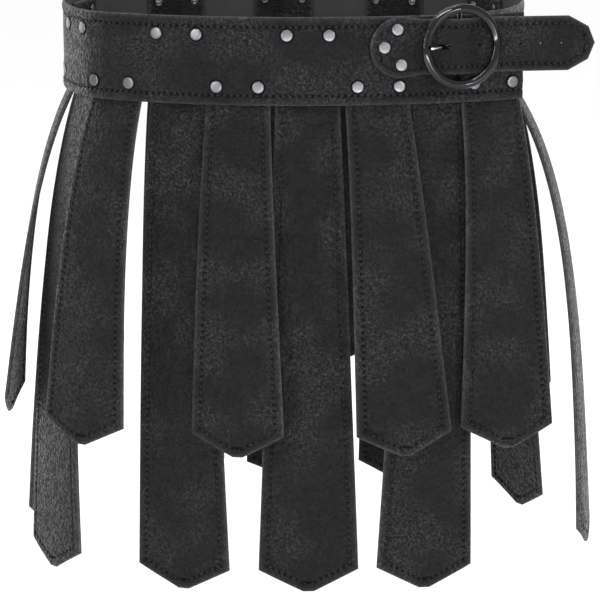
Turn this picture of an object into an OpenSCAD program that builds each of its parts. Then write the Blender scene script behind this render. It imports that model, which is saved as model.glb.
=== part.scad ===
// Leather armour skirt: a riveted waistband with two tiers of hanging straps,
// closed at the right front by a tongue that runs through a centre-bar ring buckle.
// The front faces -Y, +X is the viewer's right, and the origin is the centre of the waist.

/* [Waistband] */
// Width of the waistband over its two sides
waist_w = 354; // [340:2:380]
// Depth of the waistband from front to back
waist_d = 258; // [246:2:280]
// Radius of the front and of the back
front_r = 290; // [270:5:320]
// Radius of the four corners
corner_r = 55; // [45:1:65]
// Radius of the two sides
side_r = 150; // [140:1:170]
// Radius of the front panel's free end, which stands off the wearer
flap_r = 400; // [360:5:440]
// Arc length from the front centre to the end of the front panel
flap_len = 176.5; // [176:0.5:184]
// Arc length from the front centre back to the end that lies under the panel
under_len = 138; // [132:1:140]
// Height of the waistband
band_h = 65; // [60:1:75]
// Thickness of the outer leather
band_t = 2.2; // [1.6:0.1:3]
// Thickness of the lining
lining_t = 1.2; // [0.8:0.1:2]
// Depth of the turned hem along both edges
hem_h = 8; // [5:0.5:10]
// How far the padded hem stands out past the leather
hem_puff = 0.8; // [0.3:0.1:1.4]

/* [Straps] */
// Places of the long straps along the band, from the front centre to the right
long_at = [108, 11, -87, -186.5, -294, -400, -490.5, -583.5, -671.5, -763]; // [-800:0.5:180]
// Places of the short straps along the band, from the front centre to the right
short_at = [152, 63, -41, -141, -236, -344, -445.5, -537.5, -627, -714.5]; // [-800:0.5:180]
// Sideways lean of each long strap in degrees
long_lean = [-2.5, 0, 2, 4, 2, -2, -1, 0, -2, -5]; // [-8:0.5:8]
// Sideways lean of each short strap in degrees
short_lean = [0, 3.5, 1, -1, 3, -1, 1, 0, -1, 2]; // [-8:0.5:8]
// Turn of each long strap about its length, at the hem, in degrees
long_turn = [1, 1, -6, 9, 2, 0, 3, -2, 0, -6]; // [-15:1:15]
// Turn of each short strap about its length, at the hem, in degrees
short_turn = [-12, -7, -6, -1, -13, 4, 0, -3, 2, 0]; // [-15:1:15]
// Width of every strap where it leaves the waistband
strap_top_w = 48.5; // [42:0.5:50]
// Width of a long strap at its lower corners
long_hem_w = 75; // [60:1:80]
// Width of a short strap at its lower corners
short_hem_w = 71; // [58:1:76]
// Length of a long strap from the waistband to its point
long_l = 366; // [320:2:400]
// Length of a short strap from the waistband to its point
short_l = 262; // [220:2:290]
// Height of the point at the end of every strap
point_h = 18; // [10:1:26]
// Thickness of a strap
strap_t = 2.6; // [2:0.1:3.2]
// Angle at which each long strap leaves the band
long_flare = [13, 12, 14, 20, 18, 16, 14, 15, 14, 35]; // [8:1:36]
// Angle at which each short strap leaves the band
short_flare = [20, 19, 19, 25, 27, 24, 19, 19, 20, 17]; // [8:1:34]
// Angle that the straps keep at their ends
hem_flare = 3; // [1:0.5:5]
// Drop over which the flare fades
flare_fade = 90; // [70:5:110]
// Drop over which a strap flattens out from the curve of the band
curl_fade = 110; // [60:5:140]
// How far the long edges of a strap curl inward at the hem
cup_depth = 2.4; // [0:0.2:4]
// Clearance between the two tiers, which the short straps need to swing
tier_gap = 0.9; // [0.6:0.1:0.9]

/* [Rivets] */
// Height of the rivet rows above and below the middle of the band
rivet_z = 19; // [17:0.5:20]
// Distance between the two rivets of one strap
rivet_gap = 31; // [24:1:33]
// Diameter of a rivet cap
cap_d = 9; // [7:0.5:10]
// Height of a rivet cap
cap_h = 1.3; // [1:0.1:1.8]
// Diameter of a rivet post
post_d = 3; // [2:0.2:4]
// Diameter of the disc at the back of a rivet
back_d = 6; // [5:0.5:6]
// Thickness of the disc at the back of a rivet
back_h = 0.8; // [0.5:0.1:1.2]

/* [Buckle] */
// Arc length from the front centre to the buckle's bar
buckle_at = 122; // [112:1:124]
// Height of the buckle's centre above the middle of the band
buckle_z = 10; // [6:0.5:12]
// Outer diameter of the ring
ring_d = 62.5; // [58:0.5:66]
// Width of the ring's rim, seen from the front
rim_w = 6.6; // [5:0.2:8]
// Thickness of the ring's rim, front to back
rim_t = 5.2; // [4:0.2:5.6]
// Turn of the ring past the panel's own direction, in degrees
ring_turn = 2; // [0:0.5:2]
// Stand-off of the ring's middle plane from its bar
ring_rise = 5.5; // [5:0.1:6.5]
// Diameter of the centre bar
bar_d = 3.2; // [2.6:0.2:3.6]
// Thickness of the prong
prong_d = 2.4; // [2:0.2:2.6]
// Clearance between pieces that lie on each other
seat_gap = 0.3; // [0.2:0.05:0.5]

/* [Tongue] */
// Thickness of the tongue
tongue_t = 2.2; // [1.8:0.1:2.6]
// Half height of the tongue's riveted end
tab_half = 22.5; // [20:0.5:24]
// Half height of the tongue past the buckle
tongue_half = 20.3; // [16:0.1:22]
// Length of the tongue's riveted end, from the buckle's bar to its round end
tab_reach = 66; // [58:1:68]
// Length of the tongue from the buckle's bar to its point
tip_reach = 104; // [90:1:112]
// Angle at which the free end stands off the panel
tip_angle = 14; // [6:0.5:16]
// Diameter of the spare holes
hole_d = 2.4; // [1.6:0.2:3]
// Distance between the tongue's holes
hole_pitch = 15.8; // [15:0.1:17]

/* [Chape] */
// Thickness of the chape, the leather loop that holds the buckle
chape_t = 1.4; // [1:0.1:1.6]
// Height of the chape
chape_h = 24; // [18:1:30]
// Clearance between the chape's rivets and the last long strap's head
chape_clear = 1.55; // [1:0.05:2]

/* [Hidden] */
LEATHER = "#1d1d1f";
LEATHER_BACK = "#2b2a29";
NICKEL = "#26272b";
SILVER = "#c6c8cc";
GUNMETAL = "#77787c";
RAD = PI / 180;
half_w = waist_w / 2;
half_d = waist_d / 2;
half_h = band_h / 2;
// A corner's arc touches the front's and the side's from inside
front_y = front_r - half_d;
side_x = half_w - side_r;
front_arm = front_r - corner_r;
side_arm = side_r - corner_r;
reach = norm([side_x, front_y]);
foot = (front_arm ^ 2 - side_arm ^ 2 + reach ^ 2) / (2 * reach);
rise = sqrt(front_arm ^ 2 - foot ^ 2);
corner_x = (foot * side_x + rise * front_y) / reach;
corner_y = front_y - (foot * front_y - rise * side_x) / reach;
turn_1 = atan2(corner_x, front_y - corner_y);
turn_2 = atan2(corner_x - side_x, -corner_y);
round_l = 4 * RAD * (front_r * turn_1 + corner_r * (turn_2 - turn_1) + side_r * (90 - turn_2));
// Arcs of the band's outer curve from the panel's free end round to the under end,
// each with the heading it starts and ends at, its radius and its centre
arcs = [
    [-flap_len / flap_r / RAD, 0, flap_r, [0, flap_r - half_d]],
    [0, turn_1, front_r, [0, front_y]],
    [turn_1, turn_2, corner_r, [-corner_x, corner_y]],
    [turn_2, 180 - turn_2, side_r, [-side_x, 0]],
    [180 - turn_2, 180 - turn_1, corner_r, [-corner_x, -corner_y]],
    [180 - turn_1, 180 + turn_1, front_r, [0, -front_y]],
    [180 + turn_1, 180 + turn_2, corner_r, [corner_x, -corner_y]],
    [180 + turn_2, 360 - turn_2, side_r, [side_x, 0]],
    [360 - turn_2, 360 - turn_1, corner_r, [corner_x, corner_y]],
    [360 - turn_1, 360 - under_len / front_r / RAD, front_r, [0, front_y]]
];
// Layers behind the outer leather, as distances from its outer face
ply_gap = 0.15;
lining_out = -band_t - ply_gap;
// Longest straight run in a sheet that follows the band
sheet_step = 6;
lining_d = lining_out - lining_t;
short_d = lining_d - ply_gap - strap_t / 2;
long_d = short_d - strap_t - tier_gap;
// A long strap's head lies on the lining, and steps back behind the short heads
head_top = rivet_z + 8;
step_top = -1.5;
step_low = -5.5;
short_top = -7;
// Rows and columns of a strap's surface
rows = 10;
cols = 6;
// The tongue, the chape and the buckle stand clear of the rivet caps behind them
stand = cap_h + seat_gap;
bar_gap = 0.15;
bend_r = bar_d / 2 + bar_gap + chape_t / 2;
ply_1 = stand + chape_t / 2;
ply_2 = ply_1 + chape_t + ply_gap;
bar_out = ply_1 + bend_r;
ring_out = bar_out + ring_rise;
ring_in_r = ring_d / 2 - rim_w;
rim_mid_r = (ring_d - rim_w) / 2;
lie_d = stand + tongue_t / 2;
over_d = bar_out + bend_r + chape_t / 2 + seat_gap + tongue_t / 2;
under_d = stand + chape_t + seat_gap + tongue_t / 2;
wave_from = -34;
wave_to = 20;
bend_x = ring_d / 2 + 1.8;
bend_gap = 0.5;
shoulder_x = tip_reach - 20;
tab_x = tab_half - tab_reach;
tab_rivets = [[-46, 13], [-55.5, 0], [-43, -13]];
slot_from = -17.4;
slot_to = -8.4;
slot_h = prong_d + 1.2;
slot_past = 1.2;
collar_r = bar_d / 2 + 1.3;
ply_end = 12;
chape_rivet_z = 6;
chape_rivet_s = round_l + long_at[9] - strap_top_w / 2 - back_d / 2 - chape_clear;
chape_at = chape_rivet_s + 7;
chape_seat = seat_gap + chape_t / 2;

// Arc length at which an arc of the band starts
function arc_from(k) = k == 0 ? flap_len
    : arc_from(k - 1) - (arcs[k - 1][1] - arcs[k - 1][0]) * RAD * arcs[k - 1][2];
arc_s = [for (k = [0:len(arcs) - 1]) arc_from(k)];
function arc_of(s, k = 0) = k == len(arcs) - 1 || s >= arc_s[k + 1] ? k : arc_of(s, k + 1);
function heading_on(k, s) = arcs[k][0] + (arc_s[k] - s) / arcs[k][2] / RAD;
function heading(s) = heading_on(arc_of(s), s);
function facing(a) = [-sin(a), -cos(a)];
// Point at an arc length and a distance outside the band's outer face
function at(s, d) = let (k = arc_of(s)) arcs[k][3] + (arcs[k][2] + d) * facing(heading_on(k, s));
// Arc length on the far side, measured as on the near side of the closed curve
function under(s) = s - round_l;

// Upright sheet that follows the band between two arc lengths
module sheet(from, to, outer, inner, low, high) {
    count = ceil((to - from) / sheet_step);
    run = [for (i = [0:count]) from + (to - from) * i / count];
    translate([0, 0, low])
        linear_extrude(high - low)
            polygon(concat([for (s = run) at(s, outer)], [for (i = [count:-1:0]) at(run[i], inner)]));
}

// Turns a piece that points up so that it points outward from the band
module outward(s, z, d = 0) {
    p = at(s, d);
    translate([p.x, p.y, z]) rotate([0, 0, 270 - heading(s)]) rotate([0, 90, 0]) children();
}

// Hole for a rivet's post through every layer, from the inside out
module post_hole(s, z) {
    spare = 2;
    inside = spare - short_d + strap_t / 2;
    outside = spare + stand + 2 * tongue_t;
    outward(s, z, -inside) cylinder(d = post_d + 2 * ply_gap, h = inside + outside, $fn = 32);
}

module strap_holes(places, z) {
    for (s = places, side = [-1, 1]) post_hole(s + side * rivet_gap / 2, z);
}

module tab_holes() {
    for (p = tab_rivets) post_hole(buckle_at + p.x, buckle_z + p.y);
}

module chape_holes() {
    for (side = [-1, 1]) post_hole(under(chape_rivet_s), buckle_z + side * chape_rivet_z);
}

module waistband() {
    run = [under(under_len), flap_len];
    color(LEATHER)
        difference() {
            union() {
                sheet(run[0], run[1], 0, -band_t, hem_h - half_h, half_h - hem_h);
                for (low = [-half_h, half_h - hem_h])
                    sheet(run[0], run[1], hem_puff, -band_t, low, low + hem_h);
            }
            strap_holes(long_at, rivet_z);
            strap_holes(short_at, -rivet_z);
            tab_holes();
            chape_holes();
        }
}

module waistband_lining() {
    inset = 2;
    color(LEATHER_BACK)
        difference() {
            sheet(under(under_len) + inset, flap_len - inset, lining_out, lining_d,
                inset - half_h, half_h - inset);
            strap_holes(long_at, rivet_z);
            strap_holes(short_at, -rivet_z);
            tab_holes();
            chape_holes();
        }
}

// Ends of the long straps behind the band
module long_strap_heads() {
    near = short_d + strap_t / 2;
    far = long_d - strap_t / 2;
    color(LEATHER)
        difference() {
            for (s = long_at) {
                low = s - strap_top_w / 2;
                high = s + strap_top_w / 2;
                sheet(low, high, near, near - strap_t, step_low, head_top);
                sheet(low, high, near, far, step_low, step_top);
                sheet(low, high, far + strap_t, far, -half_h, step_top);
            }
            strap_holes(long_at, rivet_z);
        }
}

// Ends of the short straps behind the band
module short_strap_heads() {
    color(LEATHER)
        difference() {
            for (s = short_at) {
                sheet(s - strap_top_w / 2, s + strap_top_w / 2, short_d + strap_t / 2,
                    short_d - strap_t / 2, -half_h, short_top);
            }
            strap_holes(short_at, -rivet_z);
        }
}

// Angle, outward offset and drop of a hanging strap at a distance down its length
function hang_angle(v, flare) = hem_flare + (flare - hem_flare) * exp(-v / flare_fade);
function hang_out(v, flare) =
    RAD * (hem_flare * v + (flare - hem_flare) * flare_fade * (1 - exp(-v / flare_fade)));
function hang_drop(v, flare) =
    let (a = hem_flare * RAD, b = (flare - hem_flare) * RAD, e = exp(-v / flare_fade))
    v - (a ^ 2 * v + 2 * a * b * flare_fade * (1 - e) + b ^ 2 * flare_fade / 2 * (1 - e ^ 2)) / 2;

// Point of a hanging strap: f runs down it, k across it, and face is 1 outside and -1 inside
function strap_point(s, depth, hem_w, length, flare, lean, turn, f, k, face) =
    let (
        side = k * (strap_top_w + (hem_w - strap_top_w) * f) / 2,
        v = f * (length - point_h * abs(k)) - side * sin(lean) * f,
        u = side + v * tan(lean),
        a = heading(s),
        n = facing(a),
        t = [-n.y, n.x],
        hug = exp(-v / curl_fade),
        flat = at(s, depth) + u * cos(turn * f) * t - (u * sin(turn * f) + cup_depth * k ^ 2 * f) * n,
        tilt = f == 0 ? 0 : hang_angle(v, flare),
        out = hang_out(v, flare) + face * strap_t / 2 * cos(tilt),
        p = hug * at(s + u, depth) + (1 - hug) * flat + out * n
    )
    [p.x, p.y, face * strap_t / 2 * sin(tilt) - half_h - seat_gap - hang_drop(v, flare)];

// Hanging part of a strap, from the band's lower edge to its point
module strap(s, depth, hem_w, length, flare, lean, turn) {
    wide = cols + 1;
    back = wide * (rows + 1);
    points = [
        for (face = [1, -1], j = [0:rows], i = [0:cols])
            strap_point(s, depth, hem_w, length, flare, lean, turn,
                (j / rows) ^ 1.25, 2 * i / cols - 1, face)
    ];
    quads = concat(
        [for (j = [0:rows - 1], i = [0:cols - 1]) let (p = j * wide + i) [p, p + 1, p + wide + 1, p + wide]],
        [for (j = [0:rows - 1], i = [0:cols - 1]) let (p = back + j * wide + i)
            [p, p + wide, p + wide + 1, p + 1]],
        [for (i = [0:cols - 1]) [i, back + i, back + i + 1, i + 1]],
        [for (i = [0:cols - 1]) let (p = rows * wide + i) [p + 1, back + p + 1, back + p, p]],
        [for (j = [0:rows - 1]) let (p = j * wide) [back + p, p, p + wide, back + p + wide]],
        [for (j = [0:rows - 1]) let (p = j * wide + cols) [p, back + p, back + p + wide, p + wide]]
    );
    faces = [for (q = quads, h = [0, 1]) h == 0 ? [q[0], q[1], q[2]] : [q[0], q[2], q[3]]];
    color(LEATHER) polyhedron(points, faces, convexity = 4);
}

module long_strap(i) {
    strap(long_at[i], long_d, long_hem_w, long_l, long_flare[i], long_lean[i], long_turn[i]);
}

module short_strap(i) {
    strap(short_at[i], short_d, short_hem_w, short_l, short_flare[i], short_lean[i], short_turn[i]);
}

// A rivet's flat cap with a rounded rim, and its post down through the layers
module rivet(depth) {
    edge = 0.5;
    rotate_extrude($fn = 48)
        polygon([
            [0, -depth], [post_d / 2, -depth], [post_d / 2, 0], [cap_d / 2, 0],
            [cap_d / 2, cap_h - 2 * edge], [cap_d / 2 - edge * 0.3, cap_h - edge],
            [cap_d / 2 - edge, cap_h - edge * 0.3], [cap_d / 2 - 2 * edge, cap_h], [0, cap_h]
        ]);
}

module rivet_back() {
    rotate_extrude($fn = 48)
        polygon([
            [post_d / 2, 0], [back_d / 2, 0], [back_d / 2, -back_h * 0.6],
            [back_d / 2 - 0.4, -back_h], [post_d / 2, -back_h]
        ]);
}

module upper_rivets() {
    color(GUNMETAL)
        for (s = long_at, side = [-1, 1]) {
            outward(s + side * rivet_gap / 2, rivet_z) rivet(-short_d + strap_t / 2 + back_h);
        }
}

module lower_rivets() {
    color(GUNMETAL)
        for (s = short_at, side = [-1, 1]) {
            outward(s + side * rivet_gap / 2, -rivet_z) rivet(-short_d + strap_t / 2 + back_h);
        }
}

// Rivets that hold the tongue on the panel, and the chape on the side below it
module tongue_rivets() {
    face = lie_d + tongue_t / 2;
    color(GUNMETAL)
        for (p = tab_rivets) {
            outward(buckle_at + p.x, buckle_z + p.y, face)
                rivet(face - lining_d + ply_gap + back_h);
        }
}

module chape_rivets() {
    face = chape_seat + chape_t / 2;
    color(GUNMETAL)
        for (side = [-1, 1]) {
            outward(under(chape_rivet_s), buckle_z + side * chape_rivet_z, face)
                rivet(face - lining_d + ply_gap + back_h);
        }
}

// Discs inside the band that close every rivet
module rivet_backs() {
    deep = short_d - strap_t / 2 - 2 * ply_gap;
    thin = lining_d - 2 * ply_gap;
    color(GUNMETAL) {
        for (s = long_at, side = [-1, 1]) outward(s + side * rivet_gap / 2, rivet_z, deep) rivet_back();
        for (s = short_at, side = [-1, 1]) outward(s + side * rivet_gap / 2, -rivet_z, deep) rivet_back();
        for (p = tab_rivets) outward(buckle_at + p.x, buckle_z + p.y, thin) rivet_back();
        for (side = [-1, 1])
            outward(under(chape_rivet_s), buckle_z + side * chape_rivet_z, thin) rivet_back();
    }
}

function ease(f) = (1 - cos(180 * min(max(f, 0), 1))) / 2;
// Stand-off of the tongue: flat on the panel, over the bar, and down behind the rim
function tongue_d(x) = x < 0
    ? lie_d + (over_d - lie_d) * ease(1 - x / wave_from)
    : over_d + (under_d - over_d) * ease(x / wave_to);
bend_a = heading(buckle_at + bend_x);
tip_dir = [cos(-bend_a - tip_angle), sin(-bend_a - tip_angle)];
function tongue_at(x) = x <= bend_x
    ? at(buckle_at + x, tongue_d(x))
    : at(buckle_at + bend_x, tongue_d(bend_x)) + (x - bend_x) * tip_dir;

function side_at(path, i) =
    let (v = path[min(i + 1, len(path) - 1)] - path[max(i - 1, 0)]) [-v.y, v.x] / norm(v);
// Outline of a sheet of one thickness along a path, seen from above
function ribbon(path, t) = concat(
    [for (i = [0:len(path) - 1]) path[i] + t / 2 * side_at(path, i)],
    [for (i = [len(path) - 1:-1:0]) path[i] - t / 2 * side_at(path, i)]
);

// Frame of the buckle: X to the right along the panel, -Y outward, Z up
module at_buckle() {
    p = at(buckle_at, 0);
    translate([p.x, p.y, buckle_z]) rotate([0, 0, -heading(buckle_at)]) children();
}

// Outline of the whole tongue seen from the front: round end, straight run, blunt point
module tongue_face() {
    corner_in = 5;
    corner_half = 0.6 * tongue_half;
    narrow_x = wave_from + 8;
    polygon(concat(
        [for (a = [90:6:270]) [tab_x, 0] + tab_half * [cos(a), sin(a)]],
        [
            [narrow_x, -tongue_half], [shoulder_x, -tongue_half],
            [tip_reach - corner_in, -corner_half], [tip_reach, 0],
            [tip_reach - corner_in, corner_half], [shoulder_x, tongue_half],
            [narrow_x, tongue_half]
        ]
    ));
}

module tongue_piece(stations) {
    intersection() {
        translate([0, 0, buckle_z - tab_half - 1])
            linear_extrude(2 * tab_half + 2) polygon(ribbon([for (x = stations) tongue_at(x)], tongue_t));
        at_buckle() rotate([90, 0, 0]) linear_extrude(80, center = true) tongue_face();
    }
}

module spare_hole(count) {
    at_buckle()
        translate([count * hole_pitch, 0, 0])
            rotate([90, 0, 0]) cylinder(d = hole_d, h = 80, center = true, $fn = 24);
}

// Fixed part of the tongue, from its riveted end to the right side of the ring
module tongue() {
    stations = concat(
        [-tab_reach, -56, -49, -42], [for (x = [wave_from:2:wave_to]) x], [25, 29, bend_x]
    );
    color(LEATHER)
        difference() {
            tongue_piece(stations);
            spare_hole(1);
            tab_holes();
            at_buckle()
                translate([slot_from, -40, -slot_h / 2]) cube([slot_to - slot_from, 80, slot_h]);
        }
}

// Free end of the tongue; its second hole lies behind the rim
module tongue_tip() {
    color(LEATHER)
        difference() {
            tongue_piece([bend_x + bend_gap, tip_reach + 6]);
            for (count = [3:5]) spare_hole(count);
        }
}

// Ring of the buckle with its centre bar, set back on two lugs
module buckle_ring() {
    lug_d = bar_d + 0.6;
    rim = [for (a = [0:20:340]) [rim_mid_r + rim_w / 2 * cos(a), rim_t / 2 * sin(a)]];
    color(NICKEL)
        at_buckle()
            translate([0, -bar_out, 0])
                rotate([0, 0, ring_turn]) {
                    translate([0, -ring_rise, 0])
                        rotate([90, 0, 0]) rotate_extrude($fn = 96) polygon(rim);
                    cylinder(d = bar_d, h = 2 * rim_mid_r, center = true, $fn = 48);
                    for (side = [-1, 1])
                        translate([0, 0, side * rim_mid_r])
                            rotate([90, 0, 0]) cylinder(d = lug_d, h = ring_rise, $fn = 48);
                }
}

// Prong: a collar on the bar, and a bent wire through the tongue to the ring's left side
module buckle_prong() {
    rest = ring_out + rim_mid_r * sin(ring_turn) + rim_t / 2 + seat_gap + prong_d / 2;
    path = [[-2, bar_out], [-10.8, bar_out], [-12, bar_out + 0.7], [-15.6, bar_out + 4.6],
        [5 - rim_mid_r, rest - 0.9], [4 - rim_mid_r, rest - 0.3], [2.2 - rim_mid_r, rest]];
    wire_h = prong_d - 0.2;
    color(SILVER)
        at_buckle() {
            translate([0, -bar_out, 0])
                difference() {
                    cylinder(r = collar_r, h = prong_d, center = true, $fn = 48);
                    cylinder(d = bar_d + 0.2, h = prong_d + 1, center = true, $fn = 48);
                }
            translate([0, 0, -wire_h / 2])
                linear_extrude(wire_h)
                    polygon(ribbon([for (p = path) [p.x, -p.y]], prong_d));
        }
}

function buckle_point(x, d) =
    let (n = facing(heading(buckle_at))) at(buckle_at, 0) + x * [-n.y, n.x] + d * n;
function cubic(a, b, c, d, f) =
    (1 - f) ^ 3 * a + 3 * f * (1 - f) ^ 2 * b + 3 * f ^ 2 * (1 - f) * c + f ^ 3 * d;
function tangent(s) = let (n = facing(heading(s))) [-n.y, n.x];

// Leather loop that holds the bar: round the bar, along the panel under the tongue,
// past the panel's end and onto the side of the band
module chape() {
    land = under(chape_at - 13);
    start = at(flap_len, ply_1);
    end = at(land, chape_seat);
    path = concat(
        [at(buckle_at + ply_end, ply_1), at(buckle_at + ply_end / 2, ply_1)],
        [for (a = [-90:-15:-315]) buckle_point(bend_r * cos(a), bar_out + bend_r * sin(a))],
        [at(buckle_at + 6.5, ply_2), at(buckle_at + ply_end + 0.5, ply_2)],
        [for (s = [buckle_at + ply_end + 6:8:flap_len - 3]) at(s, ply_1)],
        [for (f = [0:0.1:1])
            cubic(start, start + 12 * tangent(flap_len), end - 14 * tangent(land), end, f)],
        [for (s = [land + 3:3.3:under(chape_at)]) at(s, chape_seat)]
    );
    color(LEATHER)
        difference() {
            translate([0, 0, buckle_z - chape_h / 2])
                linear_extrude(chape_h) polygon(ribbon(path, chape_t));
            at_buckle()
                translate([-5, -bar_out - 5, -slot_h / 2]) cube([5 + collar_r + slot_past, 10, slot_h]);
            chape_holes();
        }
}

waistband();
waistband_lining();
long_strap_heads();
short_strap_heads();
long_strap(0);  // long_strap_1
long_strap(1);  // long_strap_2
long_strap(2);  // long_strap_3
long_strap(3);  // long_strap_4
long_strap(4);  // long_strap_5
long_strap(5);  // long_strap_6
long_strap(6);  // long_strap_7
long_strap(7);  // long_strap_8
long_strap(8);  // long_strap_9
long_strap(9);  // long_strap_10
short_strap(0);  // short_strap_1
short_strap(1);  // short_strap_2
short_strap(2);  // short_strap_3
short_strap(3);  // short_strap_4
short_strap(4);  // short_strap_5
short_strap(5);  // short_strap_6
short_strap(6);  // short_strap_7
short_strap(7);  // short_strap_8
short_strap(8);  // short_strap_9
short_strap(9);  // short_strap_10
upper_rivets();
lower_rivets();
rivet_backs();
tongue();
tongue_tip();
tongue_rivets();
chape();
chape_rivets();
buckle_ring();
buckle_prong();
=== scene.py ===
import math

import bmesh
import bpy
from bpy.props import FloatProperty, FloatVectorProperty, PointerProperty
from mathutils import Matrix, Vector, noise


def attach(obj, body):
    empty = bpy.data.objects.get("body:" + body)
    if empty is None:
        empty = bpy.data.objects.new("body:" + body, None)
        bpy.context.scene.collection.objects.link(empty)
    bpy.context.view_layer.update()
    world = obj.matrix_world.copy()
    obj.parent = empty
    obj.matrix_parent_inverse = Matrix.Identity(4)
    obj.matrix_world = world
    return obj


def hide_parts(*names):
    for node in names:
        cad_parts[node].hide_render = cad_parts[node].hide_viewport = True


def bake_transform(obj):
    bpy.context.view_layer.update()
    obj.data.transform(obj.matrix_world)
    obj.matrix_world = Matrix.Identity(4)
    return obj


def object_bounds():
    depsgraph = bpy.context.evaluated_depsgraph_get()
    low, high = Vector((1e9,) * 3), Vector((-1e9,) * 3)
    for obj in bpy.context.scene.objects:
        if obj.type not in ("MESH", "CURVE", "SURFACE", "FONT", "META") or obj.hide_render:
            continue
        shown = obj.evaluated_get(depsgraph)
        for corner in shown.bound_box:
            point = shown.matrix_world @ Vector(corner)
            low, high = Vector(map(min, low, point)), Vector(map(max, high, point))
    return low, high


bl_info = {
    "name": "Leather Armour Skirt",
    "version": (1, 0, 0),
    "blender": (4, 5, 0),
    "location": "View3D > Sidebar > Skirt",
    "description": "Stitched leather, rivets and a ring buckle over the skirt's frame",
    "category": "Add Mesh",
}

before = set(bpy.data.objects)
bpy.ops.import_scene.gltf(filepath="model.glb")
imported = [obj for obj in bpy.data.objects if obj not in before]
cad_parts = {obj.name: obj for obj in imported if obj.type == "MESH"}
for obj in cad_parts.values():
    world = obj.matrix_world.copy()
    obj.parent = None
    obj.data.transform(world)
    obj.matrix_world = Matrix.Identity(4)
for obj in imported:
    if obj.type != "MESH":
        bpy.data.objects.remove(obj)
cad_low, cad_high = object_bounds()

STRAPS = 10
MM = 0.001
# A UV unit is this many metres of leather
UV_METRES = 0.1
# Place across the seam map that is far from every stitch
FAR_FROM_SEAM = 1.0
# Depth over which an edge is pale: partly scuffing, partly a painted highlight along the edge
WEAR_AND_SHEEN_DEPTH = 0.9 * MM
# Vertices of a sheet that are nearer than this are joined
JOIN_DIST = 0.5e-6
# Vertices of a finer mesh are joined, and its edges dissolved, below this length
TINY = 1e-7
# Sockets of a colour Mix node that take its two colours
FIRST_COLOUR, SECOND_COLOUR = 6, 7


def linear(hex_colour):
    """Linear colour from an sRGB hex value."""
    parts = [int(hex_colour[i:i + 2], 16) / 255 for i in (1, 3, 5)]
    return tuple(c / 12.92 if c <= 0.04045 else ((c + 0.055) / 1.055) ** 2.4 for c in parts)


def length(name, description, default):
    return FloatProperty(name=name, description=description, default=default * MM, unit="LENGTH", precision=5)


def lengths(name, description, default):
    return FloatVectorProperty(
        name=name, description=description, size=STRAPS, unit="LENGTH", precision=5,
        default=[v * MM for v in default],
    )


def angles(name, description, default):
    return FloatVectorProperty(
        name=name, description=description, size=STRAPS, subtype="EULER", unit="ROTATION",
        default=[math.radians(v) for v in default],
    )


def angle(name, description, default):
    return FloatProperty(name=name, description=description, default=math.radians(default), unit="ROTATION")


def colour(name, description, default):
    return FloatVectorProperty(
        name=name, description=description, subtype="COLOR", size=3, min=0, max=1, default=linear(default),
    )


class BandSizes(bpy.types.PropertyGroup):
    """Sizes of the waistband"""

    waist_w: length("Waist width", "Width over the two sides", 354)
    waist_d: length("Waist depth", "Depth from front to back", 258)
    front_r: length("Front radius", "Radius of the front and of the back", 290)
    corner_r: length("Corner radius", "Radius of the four corners", 55)
    side_r: length("Side radius", "Radius of the two sides", 150)
    flap_r: length("Panel radius", "Radius of the front panel's free end", 400)
    flap_len: length("Panel length", "From the front centre to the panel's free end", 176.5)
    under_len: length("Under end", "From the front centre back to the end under the panel", 138)
    band_h: length("Height", "Height of the waistband", 65)
    band_t: length("Leather", "Thickness of the outer leather", 2.2)
    lining_t: length("Lining", "Thickness of the lining", 1.2)
    lining_inset: length("Lining inset", "How far the lining stays inside the band's edges", 2)
    hem_h: length("Hem", "Depth of the turned hem along both edges", 8)
    hem_puff: length("Hem padding", "How far the padded hem stands out", 0.8)
    ply_gap: length("Ply gap", "Gap between two layers", 0.15)


class StrapSizes(bpy.types.PropertyGroup):
    """Sizes and places of the hanging straps"""

    long_at: lengths(
        "Long straps", "Places along the band, from the front centre to the right",
        (108, 11, -87, -186.5, -294, -400, -490.5, -583.5, -671.5, -763))
    short_at: lengths(
        "Short straps", "Places along the band, from the front centre to the right",
        (152, 63, -41, -141, -236, -344, -445.5, -537.5, -627, -714.5))
    long_lean: angles(
        "Long lean", "Sideways lean of each long strap", (-2.5, 0, 2, 4, 2, -2, -1, 0, -2, -5))
    short_lean: angles(
        "Short lean", "Sideways lean of each short strap", (0, 3.5, 1, -1, 3, -1, 1, 0, -1, 2))
    long_turn: angles(
        "Long turn", "Turn of each long strap about its length", (1, 1, -6, 9, 2, 0, 3, -2, 0, -6))
    short_turn: angles(
        "Short turn", "Turn of each short strap about its length", (-12, -7, -6, -1, -13, 4, 0, -3, 2, 0))
    long_flare: angles(
        "Long flare", "Angle at which each long strap leaves the band",
        (13, 12, 14, 20, 18, 16, 14, 15, 14, 35))
    short_flare: angles(
        "Short flare", "Angle at which each short strap leaves the band",
        (20, 19, 19, 25, 27, 24, 19, 19, 20, 17))
    top_w: length("Top width", "Width where a strap leaves the band", 48.5)
    long_hem_w: length("Long hem width", "Width of a long strap at its lower corners", 75)
    short_hem_w: length("Short hem width", "Width of a short strap at its lower corners", 71)
    long_l: length("Long length", "From the band to a long strap's point", 366)
    short_l: length("Short length", "From the band to a short strap's point", 262)
    point_h: length("Point", "Height of the point at a strap's end", 18)
    strap_t: length("Thickness", "Thickness of a strap", 2.6)
    hem_flare: angle("End flare", "Angle that the straps keep at their ends", 3)
    flare_fade: length("Flare fade", "Drop over which the flare fades", 90)
    curl_fade: length("Curl fade", "Drop over which a strap flattens out", 110)
    cup_depth: length("Cup", "How far the long edges curl inward at the hem", 2.4)
    tier_gap: length("Tier gap", "Clearance between the two tiers", 0.9)
    border: length("Border", "From a strap's edge to its stitch line", 6.2)


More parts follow.
